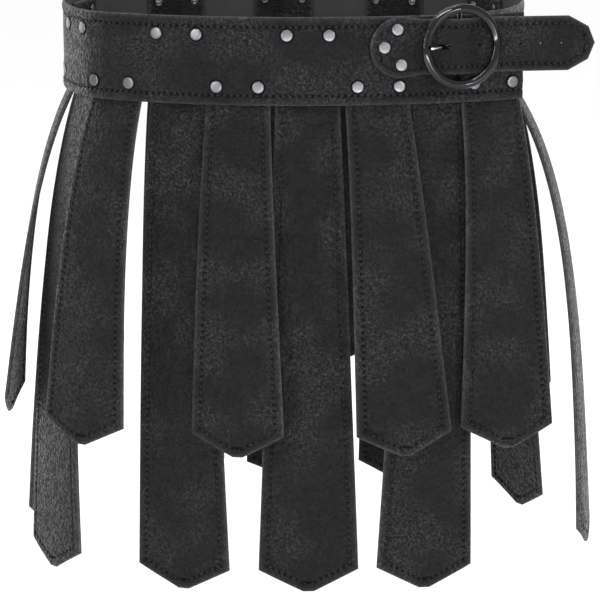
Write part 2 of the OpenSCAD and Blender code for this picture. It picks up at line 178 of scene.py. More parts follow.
class RivetSizes(bpy.types.PropertyGroup):
    """Sizes of the rivets"""

    row_z: length("Row height", "Height of the rows above and below the middle", 19)
    gap: length("Spacing", "Distance between the two rivets of one strap", 31)
    cap_d: length("Cap", "Diameter of a cap", 9)
    cap_h: length("Cap height", "Height of a cap", 1.3)
    post_d: length("Post", "Diameter of a post", 3)
    back_d: length("Back", "Diameter of the disc at the back", 6)
    back_h: length("Back height", "Thickness of the disc at the back", 0.8)


class BuckleSizes(bpy.types.PropertyGroup):
    """Sizes of the buckle, the tongue and the chape"""

    at: length("Place", "From the front centre to the buckle's bar", 122)
    z: length("Height", "Height of the buckle's centre", 10)
    ring_d: length("Ring", "Outer diameter of the ring", 62.5)
    rim_w: length("Rim width", "Width of the rim, seen from the front", 6.6)
    rim_t: length("Rim thickness", "Thickness of the rim, front to back", 5.2)
    ring_turn: angle("Ring turn", "Turn of the ring past the panel's direction", 2)
    ring_rise: length("Ring rise", "Stand-off of the ring from its bar", 5.5)
    bar_d: length("Bar", "Diameter of the centre bar", 3.2)
    prong_d: length("Prong", "Thickness of the prong", 2.4)
    seat_gap: length("Clearance", "Clearance between pieces that lie on each other", 0.3)
    tongue_t: length("Tongue", "Thickness of the tongue", 2.2)
    tab_half: length("Tab", "Half height of the tongue's riveted end", 22.5)
    tongue_half: length("Tongue half height", "Half height of the tongue past the buckle", 20.3)
    tab_reach: length("Tab reach", "From the bar to the riveted end", 66)
    tip_reach: length("Tip reach", "From the bar to the tongue's point", 104)
    tip_angle: angle("Tip angle", "Angle at which the free end stands off", 14)
    hole_d: length("Holes", "Diameter of the spare holes", 2.4)
    hole_pitch: length("Hole pitch", "Distance between the holes", 15.8)
    chape_t: length("Chape", "Thickness of the leather loop", 1.4)
    chape_h: length("Chape height", "Height of the leather loop", 24)
    chape_clear: length("Chape clearance", "From the loop's rivets to the last long strap's head", 1.55)


class ThreadSizes(bpy.types.PropertyGroup):
    """Sizes of the stitches"""

    pitch: length("Pitch", "Distance between two stitches", 4.8)
    stitch_l: length("Stitch", "Length of thread that shows", 3.0)
    thread_d: length("Thread", "Thickness of the thread", 0.95)


class SkirtColours(bpy.types.PropertyGroup):
    """Colours of the finishes"""

    leather: colour("Leather", "Smooth side of the leather", "#0b0b0c")
    # Paler leather along the edges and in patches: partly scuffing, partly painted sheen and edge highlights
    leather_wear_and_sheen: colour("Worn leather", "Leather along its worn edges", "#48484a")
    suede: colour("Flesh side", "Inner side of the leather", "#242324")
    # Painted shade: the dark that falls into each stitch hole
    stitch_hole_shade: colour("Stitch hole", "Dark pit at each stitch", "#060606")
    thread: colour("Thread", "Waxed thread", "#1a1a1b")
    gunmetal: colour("Gunmetal", "Rivets", "#5f6063")
    nickel: colour("Black nickel", "Ring of the buckle", "#2e2e30")
    steel: colour("Steel", "Prong of the buckle", "#dfe0e2")
    paper: colour("Paper", "Paper on the floor", "#f4f4f4")
    backdrop: colour("Backdrop", "Backdrop, and the light that it gives", "#ffffff")


class BandCurve:
    """The band's outer face seen from above, from the panel's free end round to the under end."""

    def __init__(self, band):
        half_w = band.waist_w / 2
        half_d = band.waist_d / 2
        front_y = band.front_r - half_d
        side_x = half_w - band.side_r
        front_arm = band.front_r - band.corner_r
        side_arm = band.side_r - band.corner_r
        # A corner touches the front and the side, so its centre lies where two circles cross
        reach = math.hypot(side_x, front_y)
        foot = (front_arm ** 2 - side_arm ** 2 + reach ** 2) / (2 * reach)
        rise = math.sqrt(front_arm ** 2 - foot ** 2)
        corner_x = (foot * side_x + rise * front_y) / reach
        corner_y = front_y - (foot * front_y - rise * side_x) / reach
        # Headings at which a corner begins and ends, and half a turn
        one = math.atan2(corner_x, front_y - corner_y)
        two = math.atan2(corner_x - side_x, -corner_y)
        half = math.pi
        front, corner, side = band.front_r, band.corner_r, band.side_r
        self.round_l = 4 * (front * one + corner * (two - one) + side * (half / 2 - two))
        # Each arc has its first and last heading, its radius and its centre
        self.arcs = [
            (-band.flap_len / band.flap_r, 0, band.flap_r, (0, band.flap_r - half_d)),
            (0, one, front, (0, front_y)),
            (one, two, corner, (-corner_x, corner_y)),
            (two, half - two, side, (-side_x, 0)),
            (half - two, half - one, corner, (-corner_x, -corner_y)),
            (half - one, half + one, front, (0, -front_y)),
            (half + one, half + two, corner, (corner_x, -corner_y)),
            (half + two, 2 * half - two, side, (side_x, 0)),
            (2 * half - two, 2 * half - one, corner, (corner_x, corner_y)),
            (2 * half - one, 2 * half - band.under_len / front, front, (0, front_y)),
        ]
        self.starts = [band.flap_len]
        for start, end, radius, _ in self.arcs[:-1]:
            self.starts.append(self.starts[-1] - (end - start) * radius)

    def _arc(self, s):
        """Number of the arc that holds an arc length."""
        k = 0
        while k < len(self.arcs) - 1 and s < self.starts[k + 1]:
            k += 1
        return k

    def heading(self, s):
        """Angle that the curve has turned through, from the front centre."""
        k = self._arc(s)
        return self.arcs[k][0] + (self.starts[k] - s) / self.arcs[k][2]

    def facing(self, s):
        """Outward direction at an arc length."""
        turn = self.heading(s)
        return Vector((-math.sin(turn), -math.cos(turn), 0))

    def along(self, s):
        """Direction along the band in which the arc length grows."""
        n = self.facing(s)
        return Vector((-n.y, n.x, 0))

    def at(self, s, out, z=0.0):
        """Point at an arc length, a distance outside the outer face and a height."""
        _, _, radius, centre = self.arcs[self._arc(s)]
        p = Vector((centre[0], centre[1], 0)) + (radius + out) * self.facing(s)
        p.z = z
        return p

    def under(self, s):
        """Arc length on the far side, measured as on the near side of the closed curve."""
        return s - self.round_l


def layers():
    """Distances of the layers from the band's outer face."""
    scene = bpy.context.scene
    band, straps = scene.skirt_band, scene.skirt_straps
    lining_out = -band.band_t - band.ply_gap
    lining_in = lining_out - band.lining_t
    short_mid = lining_in - band.ply_gap - straps.strap_t / 2
    long_mid = short_mid - straps.strap_t - straps.tier_gap
    return lining_out, lining_in, short_mid, long_mid


class Strap:
    """Shape of one strap: k runs across it from -1 to 1, and q down it from the top of its head."""

    # Top of a long head above the upper rivets, and of a short head from the band's middle
    LONG_HEAD_RISE = 8 * MM
    SHORT_HEAD_TOP = -7 * MM
    # A long head steps out to the lining over this height, from this level up
    STEP_LOW = -5.5 * MM
    STEP_H = 4 * MM
    # Drops over which the hanging part takes its tilt, and its clearance below the band
    TILT_RUN = 4 * MM
    GAP_RUN = 8 * MM
    # Height of the ripples, and their number in a metre across and down
    RIPPLE_H = 0.7 * MM
    RIPPLE_ACROSS, RIPPLE_DOWN = 28, 11
    # Each strap is cut from another place on the hide
    NEXT_CUT, LONG_CUTS = 7.3, 50

    def __init__(self, curve, tier, index):
        scene = bpy.context.scene
        band, straps = scene.skirt_band, scene.skirt_straps
        _, _, short_mid, long_mid = layers()
        is_long = tier == "long"
        self.curve = curve
        self.sizes = straps
        self.half_h = band.band_h / 2
        self.gap = scene.skirt_buckle.seat_gap
        self.s = (straps.long_at if is_long else straps.short_at)[index]
        self.lean = (straps.long_lean if is_long else straps.short_lean)[index]
        self.turn = (straps.long_turn if is_long else straps.short_turn)[index]
        self.flare = (straps.long_flare if is_long else straps.short_flare)[index]
        self.hem_w = straps.long_hem_w if is_long else straps.short_hem_w
        self.drop = straps.long_l if is_long else straps.short_l
        self.depth = long_mid if is_long else short_mid
        self.head_depth = short_mid
        # A long head rises past the short heads and lies on the lining above them
        self.head_top = scene.skirt_rivets.row_z + self.LONG_HEAD_RISE if is_long else self.SHORT_HEAD_TOP
        self.head = self.head_top + self.half_h
        self.cut = index * self.NEXT_CUT + (self.LONG_CUTS if is_long else 0)

    def fall(self, q):
        """Share of the hanging part's length at q."""
        return max(0.0, (q - self.head) / self.drop)

    def width(self, q):
        """Width at q."""
        f = self.fall(q)
        return self.sizes.top_w + (self.hem_w - self.sizes.top_w) * f

    def end(self, k):
        """Value of q at the strap's lower edge."""
        return self.head + self.drop - self.sizes.point_h * abs(k)

    def _tilt(self, v):
        """Angle from upright after a length v of hanging part."""
        flat = self.sizes.hem_flare
        return flat + (self.flare - flat) * math.exp(-v / self.sizes.flare_fade)

    def _out(self, v):
        """How far outward the strap has come after a length v."""
        flat, fade = self.sizes.hem_flare, self.sizes.flare_fade
        return flat * v + (self.flare - flat) * fade * (1 - math.exp(-v / fade))

    def _down(self, v):
        """How far down the strap has come after a length v."""
        a, fade = self.sizes.hem_flare, self.sizes.flare_fade
        b = self.flare - a
        e = math.exp(-v / fade)
        return v - (a * a * v + 2 * a * b * fade * (1 - e) + b * b * fade / 2 * (1 - e * e)) / 2

    def place(self, k, q, h):
        """Point of the strap at k and q, h outside its middle surface."""
        curve, sizes = self.curve, self.sizes
        if q <= self.head:
            z = self.head_top - q
            step = min(1.0, max(0.0, (z - self.STEP_LOW) / self.STEP_H))
            share = step * step * (3 - 2 * step)
            depth = self.depth + (self.head_depth - self.depth) * share
            return curve.at(self.s + k * sizes.top_w / 2, depth + h, z)
        # v is the length hung down to this point and u its place across, both with the lean
        hanging = q - self.head
        share = hanging / (self.drop - sizes.point_h * abs(k))
        side = k * self.width(self.head + share * self.drop) / 2
        v = hanging - side * math.sin(self.lean) * share
        u = side + v * math.tan(self.lean)
        n = curve.facing(self.s)
        # It hugs the band's curve where it leaves it, and hangs flat and turned further down
        hug = math.exp(-v / sizes.curl_fade)
        turn = self.turn * share
        flat = (
            curve.at(self.s, self.depth)
            + u * math.cos(turn) * curve.along(self.s)
            - (u * math.sin(turn) + sizes.cup_depth * k * k * share) * n
        )
        tilt = self._tilt(v) * (1 - math.exp(-v / self.TILT_RUN))
        face = (hug * curve.facing(self.s + u) + (1 - hug) * n).normalized()
        wave = noise.noise(Vector((u * self.RIPPLE_ACROSS, v * self.RIPPLE_DOWN, self.cut)))
        ripple = self.RIPPLE_H * share * wave
        p = hug * curve.at(self.s + u, self.depth) + (1 - hug) * flat
        p = p + (self._out(v) + ripple) * n + h * math.cos(tilt) * face
        p.z = h * math.sin(tilt) - self.half_h - self.gap * min(1.0, v / self.GAP_RUN) - self._down(v)
        return p


# Distances from an edge at which a stitched border is sampled, in millimetres
RIM_STEPS = (0, 0.2, 0.7, 1.6, 3.2, 4.8, 5.5, 5.9, 6.2, 6.5, 6.9, 7.8, 9.6)


def bell(d, width):
    """1 where d is 0, falling off smoothly over about this width on either side."""
    return math.exp(-(d / width) ** 2)


def rounded(d, radius):
    """Share of its full height that a rounded edge has at a distance d in from it."""
    return math.sqrt(max(0.0, 1 - (1 - min(1.0, d / radius)) ** 2))


def edge_wear_and_sheen(d):
    """How pale the leather is at a distance d from its edge: partly scuffing, partly a painted highlight
    along it.
    """
    return math.exp(-d / WEAR_AND_SHEEN_DEPTH)


def on_uv(x, y, cut=0):
    """Place on the leather pattern, from lengths along it; cut moves a piece to leather of its own."""
    return x / UV_METRES + cut, y / UV_METRES


def border_height(d, half_t, stitch_in, puff, groove):
    """Height of a stitched border above the middle surface, at a distance d from the edge."""
    groove_w, pillow_in, pillow_w, pillow_share = 0.55 * MM, 3 * MM, 2.2 * MM, 0.4
    rise = rounded(d, half_t) * half_t
    swell = math.sin(math.pi * min(1.0, d / stitch_in)) if d < stitch_in else 0
    pulled = bell(d - stitch_in, groove_w)
    pillow = bell(d - stitch_in - pillow_in, pillow_w)
    return rise + puff * swell + pillow_share * puff * pillow - groove * pulled


def add_grid(bm, columns, rows):
    """A flat grid, as a dictionary of its vertices by column and row."""
    made = bmesh.ops.create_grid(bm, x_segments=columns - 1, y_segments=rows - 1, size=1)["verts"]
    return {
        (round((v.co.x + 1) / 2 * (columns - 1)), round((v.co.y + 1) / 2 * (rows - 1))): v for v in made
    }


def leather_shell(bm, columns, rows, param, place, height):
    """A closed sheet: two grids, one a face outward and one inward, that meet along the rim.

    param turns a column and a row into the two surface coordinates, and place puts them and a
    height in space. height gives the height of a face, how near the edge it is, its place on the
    leather, and its distance across and along the line of stitches."""
    uv = bm.loops.layers.uv.verify()
    seam = bm.loops.layers.uv.new("seam")
    # Paleness near the edge: partly scuffing, partly a painted edge highlight
    wear_and_sheen = bm.verts.layers.float.new("wear_and_sheen")
    on_leather = {}
    on_seam = {}
    made = []
    for face in (1, -1):
        grid = add_grid(bm, columns, rows)
        for (i, j), vert in grid.items():
            a, b = param(i, j)
            h, vert[wear_and_sheen], on_leather[vert], on_seam[vert] = height(a, b, face)
            vert.co = place(a, b, h)
        made.extend(grid.values())
    for poly in {f for v in made for f in v.link_faces}:
        poly.smooth = True
        for loop in poly.loops:
            loop[uv].uv = on_leather[loop.vert]
            loop[seam].uv = on_seam[loop.vert]
    bmesh.ops.remove_doubles(bm, verts=made, dist=JOIN_DIST)


def leather_sheet(bm, stations, levels, place, height):
    """A closed leather sheet, with a column at each station and a row at each level."""
    leather_shell(bm, len(stations), len(levels), lambda i, j: (stations[i], levels[j]), place, height)
    bmesh.ops.recalc_face_normals(bm, faces=bm.faces)


def mesh_from(bm, name):
    """Ends a bmesh and returns what it holds as a mesh."""
    mesh = bpy.data.meshes.new(name)
    bm.to_mesh(mesh)
    bm.free()
    return mesh


def stitch_template():
    """One stitch, lying along X."""
    thread = bpy.context.scene.skirt_thread
    bm = bmesh.new()
    bmesh.ops.create_uvsphere(bm, u_segments=6, v_segments=4, radius=0.5)
    bmesh.ops.rotate(bm, verts=bm.verts, matrix=Matrix.Rotation(math.pi / 2, 3, "Y"))
    bmesh.ops.scale(bm, verts=bm.verts, vec=(thread.stitch_l, thread.thread_d, thread.thread_d))
    for poly in bm.faces:
        poly.smooth = True
        poly.material_index = 1
    return mesh_from(bm, "stitch")


def sew(bm, stitch, place, path, h, face=1):
    """Sets stitches along a path of surface coordinates, at height h, on the outer or inner face."""
    pitch = bpy.context.scene.skirt_thread.pitch
    points = [place(a, b, h) for a, b in path]
    run = 0.0
    wait = pitch / 2
    for i in range(len(points) - 1):
        step = (points[i + 1] - points[i]).length
        while run + step >= wait and step > 0:
            f = (wait - run) / step
            a = path[i][0] + (path[i + 1][0] - path[i][0]) * f
            b = path[i][1] + (path[i + 1][1] - path[i][1]) * f
            here = place(a, b, h)
            normal = (place(a, b, h + MM) - here).normalized() * face
            along = (points[i + 1] - points[i]).normalized()
            across = normal.cross(along).normalized()
            turn = Matrix((along, across, along.cross(across))).transposed().to_4x4()
            one = stitch.copy()
            one.transform(Matrix.Translation(here) @ turn)
            bm.from_mesh(one)
            bpy.data.meshes.remove(one)
            wait += pitch
        run += step


def finish_piece(name, bm, materials, nodes):
    """Turns a bmesh into a piece that stands for CAD nodes."""
    piece = bpy.data.objects.new(name, mesh_from(bm, name))
    bpy.context.scene.collection.objects.link(piece)
    for material in materials:
        piece.data.materials.append(material)
    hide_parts(*nodes)
    return piece


def add(tree, kind, inputs=None, **settings):
    """Adds a node with its settings and links; an input is a value or another node's output."""
    node = tree.nodes.new(kind)
    for key, value in settings.items():
        setattr(node, key, value)
    for key, value in (inputs or {}).items():
        if isinstance(value, bpy.types.NodeSocket):
            tree.links.new(value, node.inputs[key])
        else:
            node.inputs[key].default_value = value
    return node


def new_material(name):
    """A material and its empty node tree, or no tree where the material is there already."""
    material = bpy.data.materials.get(name)
    if material:
        return material, None
    material = bpy.data.materials.new(name)
    material.use_nodes = True
    material.node_tree.nodes.clear()
    return material, material.node_tree


def stitch_marks(tree):
    """Two masks round the stitches: the pit at each hole, which gets painted shade, and the swelling between
    two holes.
    """
    pit_full, pit_out = 0.5 * MM, 1.5 * MM
    swell_full, swell_out = 0.6 * MM, 3.2 * MM
    turns = 2 * math.pi * UV_METRES / bpy.context.scene.skirt_thread.pitch
    seam = add(tree, "ShaderNodeUVMap", uv_map="seam").outputs["UV"]
    line = add(tree, "ShaderNodeSeparateXYZ", {"Vector": seam}).outputs
    across = add(tree, "ShaderNodeMath", {0: line["X"]}, operation="ABSOLUTE").outputs[0]
    turned = add(tree, "ShaderNodeMath", {0: line["Y"], 1: turns}, operation="MULTIPLY").outputs[0]
    wave = add(tree, "ShaderNodeMath", {0: turned}, operation="COSINE").outputs[0]
    near = add(tree, "ShaderNodeMapRange", {
        "Value": across, "From Min": pit_full / UV_METRES, "From Max": pit_out / UV_METRES,
        "To Min": 1.0, "To Max": 0.0,
    }, interpolation_type="SMOOTHSTEP").outputs["Result"]
    hole = add(tree, "ShaderNodeMapRange", {
        "Value": wave, "From Min": -0.1, "From Max": 0.95, "To Min": 0.0, "To Max": 1.0,
    }, interpolation_type="SMOOTHSTEP").outputs["Result"]
    wide = add(tree, "ShaderNodeMapRange", {
        "Value": across, "From Min": swell_full / UV_METRES, "From Max": swell_out / UV_METRES,
        "To Min": 1.0, "To Max": 0.0,
    }, interpolation_type="SMOOTHSTEP").outputs["Result"]
    shaded_pit = add(tree, "ShaderNodeMath", {0: hole, 1: near}, operation="MULTIPLY").outputs[0]
    swell = add(tree, "ShaderNodeMath", {0: wide, 1: wave}, operation="MULTIPLY").outputs[0]
    return shaded_pit, swell


def coated_leather():
    """Bonded cowhide with a smooth finish coat, embossed with a fine grain.

    It is near black from the front and turns pale at grazing angles. The grain and fine creases break the
    sheen into flecks, and paler edges, flecks and patches are painted into its colour, partly as scuffing and
    partly as painted sheen and edge highlights; each stitch has a small pit painted dark as shade, beside a
    swelling."""
    material, tree = new_material("coated_cowhide")
    if tree is None:
        return material
    colours = bpy.context.scene.skirt_colours
    # Real grain is about 0.7 mm wide, which is too fine to show, so it is drawn at about 2 mm
    grain_mm, fine_mm, crease_mm, sag_mm = 2.0, 1.8, 9.0, 45.0
    # The dyed finish coat mirrors less than clear lacquer does
    coat_tint = (0.13, 0.13, 0.134, 1)
    per_uv = UV_METRES / MM
    coords = add(tree, "ShaderNodeTexCoord").outputs["UV"]
    grain = add(tree, "ShaderNodeTexVoronoi", {
        "Vector": coords, "Scale": per_uv / grain_mm, "Randomness": 1.0,
    }, feature="SMOOTH_F1").outputs["Distance"]
    fine = add(tree, "ShaderNodeTexNoise", {
        "Vector": coords, "Scale": per_uv / fine_mm, "Detail": 2.0, "Roughness": 0.55, "Distortion": 0.8,
    }).outputs["Fac"]
    crease = add(tree, "ShaderNodeTexNoise", {
        "Vector": coords, "Scale": per_uv / crease_mm, "Detail": 5.0, "Roughness": 0.6, "Distortion": 1.6,
    }).outputs["Fac"]
    sag = add(tree, "ShaderNodeTexNoise", {
        "Vector": coords, "Scale": per_uv / sag_mm, "Detail": 2.0, "Roughness": 0.45,
    }).outputs["Fac"]
    shaded_pit, swell = stitch_marks(tree)

    # Colour: edges, flecks and patches are paler, partly as scuffing and partly as painted sheen and edge
    # highlights, and stitch holes are darker with painted shade
    worn_and_sheen = add(tree, "ShaderNodeAttribute", attribute_name="wear_and_sheen").outputs["Fac"]
    pale_edge_and_sheen = add(tree, "ShaderNodeMath", {0: worn_and_sheen, 1: crease}, operation="MULTIPLY").outputs[0]
    fleck = add(tree, "ShaderNodeMapRange", {
        "Value": fine, "From Min": 0.45, "From Max": 0.7, "To Min": 0.0, "To Max": 0.4,
    }).outputs["Result"]
    rubbed_and_sheen = add(tree, "ShaderNodeMapRange", {
        "Value": sag, "From Min": 0.4, "From Max": 0.62, "To Min": 0.1, "To Max": 0.8,
    }, interpolation_type="SMOOTHSTEP").outputs["Result"]
    patch = add(tree, "ShaderNodeMath", {0: fleck, 1: rubbed_and_sheen}, operation="MULTIPLY").outputs[0]
    pale = add(tree, "ShaderNodeMath", {0: patch, 1: pale_edge_and_sheen}, operation="ADD", use_clamp=True).outputs[0]
    dyed = add(tree, "ShaderNodeMix", {
        "Factor": pale, FIRST_COLOUR: (*colours.leather, 1), SECOND_COLOUR: (*colours.leather_wear_and_sheen, 1),
    }, data_type="RGBA").outputs[2]
    # Painted shade in the stitch holes
    base = add(tree, "ShaderNodeMix", {
        "Factor": shaded_pit, FIRST_COLOUR: dyed, SECOND_COLOUR: (*colours.stitch_hole_shade, 1),
    }, data_type="RGBA").outputs[2]

    # Gloss: the coat is duller in the grain's valleys and in the stitch holes
    coat = add(tree, "ShaderNodeMapRange", {
        "Value": sag, "From Min": 0.3, "From Max": 0.7, "To Min": 0.22, "To Max": 0.36,
    }).outputs["Result"]
    valley = add(tree, "ShaderNodeMapRange", {
        "Value": grain, "From Min": 0.25, "From Max": 0.6, "To Min": 0.0, "To Max": 0.4,
    }).outputs["Result"]
    gloss = add(tree, "ShaderNodeMath", {0: coat, 1: valley}, operation="ADD").outputs[0]
    gloss = add(tree, "ShaderNodeMath", {0: gloss, 1: shaded_pit}, operation="ADD", use_clamp=True).outputs[0]

    # Relief, from the widest to the finest; the grain's cells and the swellings stand out
    relief = (
        (sag, 0.6, 2.5 * MM, False), (crease, 0.9, 2.8 * MM, False), (grain, 0.8, 0.9 * MM, True),
        (fine, 0.8, 0.7 * MM, False), (swell, 0.8, 0.35 * MM, True),
    )
    wider = {}
    for level, strength, depth, inverted in relief:
        bump = add(tree, "ShaderNodeBump", {
            "Height": level, "Strength": strength, "Distance": depth, **wider,
        }, invert=inverted)
        wider = {"Normal": bump.outputs["Normal"]}
    shader = add(tree, "ShaderNodeBsdfPrincipled", {
        "Base Color": base, "Roughness": gloss, "Specular Tint": coat_tint, **wider,
    })
    add(tree, "ShaderNodeOutputMaterial", {"Surface": shader.outputs["BSDF"]})
    return material


def split_leather():
    """Flesh side of split cowhide: matt, short-fibred and a little uneven."""
    material, tree = new_material("split_cowhide")
    if tree is None:
        return material
    colours = bpy.context.scene.skirt_colours
    fibre_mm, patch_mm = 1.2, 20.0
    per_uv = UV_METRES / MM
    coords = add(tree, "ShaderNodeTexCoord").outputs["UV"]
    fibre = add(tree, "ShaderNodeTexNoise", {
        "Vector": coords, "Scale": per_uv / fibre_mm, "Detail": 4.0, "Roughness": 0.7,
    }).outputs["Fac"]
    patch = add(tree, "ShaderNodeTexNoise", {
        "Vector": coords, "Scale": per_uv / patch_mm, "Detail": 2.0,
    }).outputs["Fac"]
    base = add(tree, "ShaderNodeMix", {
        "Factor": patch, FIRST_COLOUR: (*colours.leather, 1), SECOND_COLOUR: (*colours.suede, 1),
    }, data_type="RGBA").outputs[2]
    bump = add(tree, "ShaderNodeBump", {"Height": fibre, "Strength": 0.5, "Distance": 0.3 * MM})
    shader = add(tree, "ShaderNodeBsdfPrincipled", {
        "Base Color": base, "Roughness": 0.85, "Normal": bump.outputs["Normal"],
    })
    add(tree, "ShaderNodeOutputMaterial", {"Surface": shader.outputs["BSDF"]})
    return material


def waxed_thread():
    """Twisted polyester thread, waxed: black with small dull highlights."""
    material, tree = new_material("waxed_polyester_thread")
    if tree is None:
        return material
    colours = bpy.context.scene.skirt_colours
    twist_mm = 0.8
    # Dark wax mirrors less than clear lacquer does
    wax_tint = (0.35, 0.35, 0.36, 1)
    coords = add(tree, "ShaderNodeTexCoord").outputs["Object"]
    twist = add(tree, "ShaderNodeTexNoise", {
        "Vector": coords, "Scale": 1 / (twist_mm * MM), "Detail": 1.0,
    }).outputs["Fac"]
    bump = add(tree, "ShaderNodeBump", {"Height": twist, "Strength": 0.4, "Distance": 0.15 * MM})
    shader = add(tree, "ShaderNodeBsdfPrincipled", {
        "Base Color": (*colours.thread, 1), "Roughness": 0.45, "Normal": bump.outputs["Normal"],
        "Specular Tint": wax_tint,
    })
    add(tree, "ShaderNodeOutputMaterial", {"Surface": shader.outputs["BSDF"]})
    return material


def stitched_piece(name, bm, nodes):
    """A piece of leather, with waxed thread as its second material."""
    return finish_piece(name, bm, [coated_leather(), waxed_thread()], nodes)


def plated_metal(name, base, roughness, scratch_mm, scratch_depth):
    """A plated metal with faint handling scratches."""
    material, tree = new_material(name)
    if tree is None:
        return material
    bright_share, dull_share = 0.75, 1.3
    coords = add(tree, "ShaderNodeTexCoord").outputs["Object"]
    marks = add(tree, "ShaderNodeTexNoise", {
        "Vector": coords, "Scale": 1 / (scratch_mm * MM), "Detail": 4.0, "Roughness": 0.7,
    }).outputs["Fac"]
    gloss = add(tree, "ShaderNodeMapRange", {
        "Value": marks, "From Min": 0.3, "From Max": 0.7,
        "To Min": roughness * bright_share, "To Max": roughness * dull_share,
    }).outputs["Result"]
    bump = add(tree, "ShaderNodeBump", {"Height": marks, "Strength": 0.25, "Distance": scratch_depth})
    shader = add(tree, "ShaderNodeBsdfPrincipled", {
        "Base Color": (*base, 1), "Metallic": 1.0, "Roughness": gloss, "Normal": bump.outputs["Normal"],
    })
    add(tree, "ShaderNodeOutputMaterial", {"Surface": shader.outputs["BSDF"]})
    return material


def gunmetal_steel():
    """Stamped steel caps with a satin gunmetal plating: mid grey with a soft spread highlight."""
    colours = bpy.context.scene.skirt_colours
    return plated_metal("gunmetal_plated_steel", colours.gunmetal, 0.34, 1.4, 0.05 * MM)


def black_nickel():
    """Cast zinc with polished black nickel plating: near black, with mirror-like highlights."""
    colours = bpy.context.scene.skirt_colours
    return plated_metal("black_nickel_plated_zinc", colours.nickel, 0.09, 3.0, 0.01 * MM)


def polished_steel():
    """Bent steel wire, polished bright."""
    colours = bpy.context.scene.skirt_colours
    return plated_metal("polished_steel_wire", colours.steel, 0.16, 2.0, 0.01 * MM)


def seen_rays(tree):
    """1 for rays that see a surface: from the camera, off metal or through glass."""
    rays = add(tree, "ShaderNodeLightPath").outputs
    seen = rays["Is Camera Ray"]
    for kind in ("Is Glossy Ray", "Is Transmission Ray"):
        seen = add(tree, "ShaderNodeMath", {0: seen, 1: rays[kind]}, operation="MAXIMUM").outputs[0]
    return seen


def spaced(low, high, step):
    """Evenly spaced values between two ends, with about this step, both ends left out."""
    count = max(1, round((high - low) / step))
    return [low + (high - low) * i / count for i in range(1, count)]


def rims(high, steps, middle_step):
    """Distances from one edge to the other: close together near both edges."""
    near = [d * MM for d in steps]
    far = [high - d for d in reversed(near)]
    return near + spaced(near[-1], far[0], middle_step) + far


def make_strap(curve, tier, index):
    """Makes one strap, from its head behind the band to its point."""
    strap = Strap(curve, tier, index)
    sizes = strap.sizes
    half_t = sizes.strap_t / 2
    # Padding and seam groove of the border, which the covered head has less of
    puff, groove, head_share = 0.28 * MM, 0.5 * MM, 0.3
    thread_sunk, bend_h = 0.28 * MM, 34 * MM
    near = [d * MM for d in RIM_STEPS]
    inner, row_step = 6, 8 * MM
    columns = 2 * len(near) + inner
    slope = math.cos(math.atan2(sizes.point_h, strap.hem_w / 2))
    shoulder = strap.head + strap.drop - sizes.point_h
    body = spaced(near[-1], shoulder - near[-1] / slope, row_step)
    rows = 2 * len(near) + len(body)

    def across(i, q):
        half = strap.width(q) / 2
        if i < len(near):
            return -1 + near[i] / half
        if i >= columns - len(near):
            return 1 - near[columns - 1 - i] / half
        edge = 1 - near[-1] / half
        return edge * (-1 + 2 * (i - len(near) + 1) / (inner + 1))

    def param(i, j):
        if j < len(near):
            return across(i, near[j]), near[j]
        if j < len(near) + len(body):
            q = body[j - len(near)]
            k = across(i, q)
            # Rows bend gradually into the strap's pointed end, and stop just short of it
            bent = max(0.0, (q - strap.head) / (shoulder - strap.head)) ** 3
            return k, q + sizes.point_h * (1 - abs(k)) * bent * 0.98
        from_end = near[rows - 1 - j]
        k = across(i, strap.end(0) - from_end)
        return k, strap.end(k) - from_end / slope

    def height(k, q, face):
        from_side = (1 - abs(k)) * strap.width(q) / 2
        from_end = (strap.end(k) - q) * slope
        d = max(0.0, min(from_side, q, from_end))
        run = q if from_side < from_end else abs(k) * strap.width(q) / 2 / slope
        hangs = q > strap.head
        shown = 1.0 if hangs else head_share
        h = border_height(d, half_t, sizes.border, puff * shown, groove * shown)
        uv = on_uv(k * strap.width(q) / 2, q, strap.cut)
        seam = ((d - sizes.border) / UV_METRES if hangs else FAR_FROM_SEAM, run / UV_METRES)
        return face * h, edge_wear_and_sheen(d), uv, seam

    bm = bmesh.new()
    leather_shell(bm, columns, rows, param, strap.place, height)
    bmesh.ops.recalc_face_normals(bm, faces=bm.faces)
    stitch = stitch_template()

    def edge_k(q):
        return 1 - 2 * sizes.border / strap.width(q)

    turn_q = strap.end(edge_k(strap.end(0))) - sizes.border / slope
    down_steps, point_steps = 60, 12
    down = [strap.head + (turn_q - strap.head) * i / down_steps for i in range(down_steps + 1)]
    for face in (1, -1):
        h = face * (half_t - thread_sunk)
        for side in (-1, 1):
            sew(bm, stitch, strap.place, [(side * edge_k(q), q) for q in down], h, face)
            point = [side * edge_k(turn_q) * (1 - i / point_steps) for i in range(point_steps + 1)]
            hem = [(k, strap.end(k) - sizes.border / slope) for k in point]
            sew(bm, stitch, strap.place, hem, h, face)
    node = f"{tier}_strap_{index + 1}"
    piece = stitched_piece(f"{node}_leather", bm, [node, f"{tier}_strap_heads"])
    # The leather bends over the band's lower edge at this point, which is worked out but not used
    hinge = strap.place(0, strap.head, 0)
    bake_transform(piece)


class SKIRT_OT_straps(bpy.types.Operator):
    """Make the two tiers of stitched straps"""

    bl_idname = "skirt.straps"
    bl_label = "Straps"

    def execute(self, context):
        curve = BandCurve(context.scene.skirt_band)
        for tier in ("long", "short"):
            for index in range(STRAPS):
                make_strap(curve, tier, index)
        return {"FINISHED"}


def rivet_places():
    """Arc length and height of every rivet that holds a strap."""
    straps, rivets = bpy.context.scene.skirt_straps, bpy.context.scene.skirt_rivets
    upper = [(s + side * rivets.gap / 2, rivets.row_z) for s in straps.long_at for side in (-1, 1)]
    lower = [(s + side * rivets.gap / 2, -rivets.row_z) for s in straps.short_at for side in (-1, 1)]
    return upper, lower


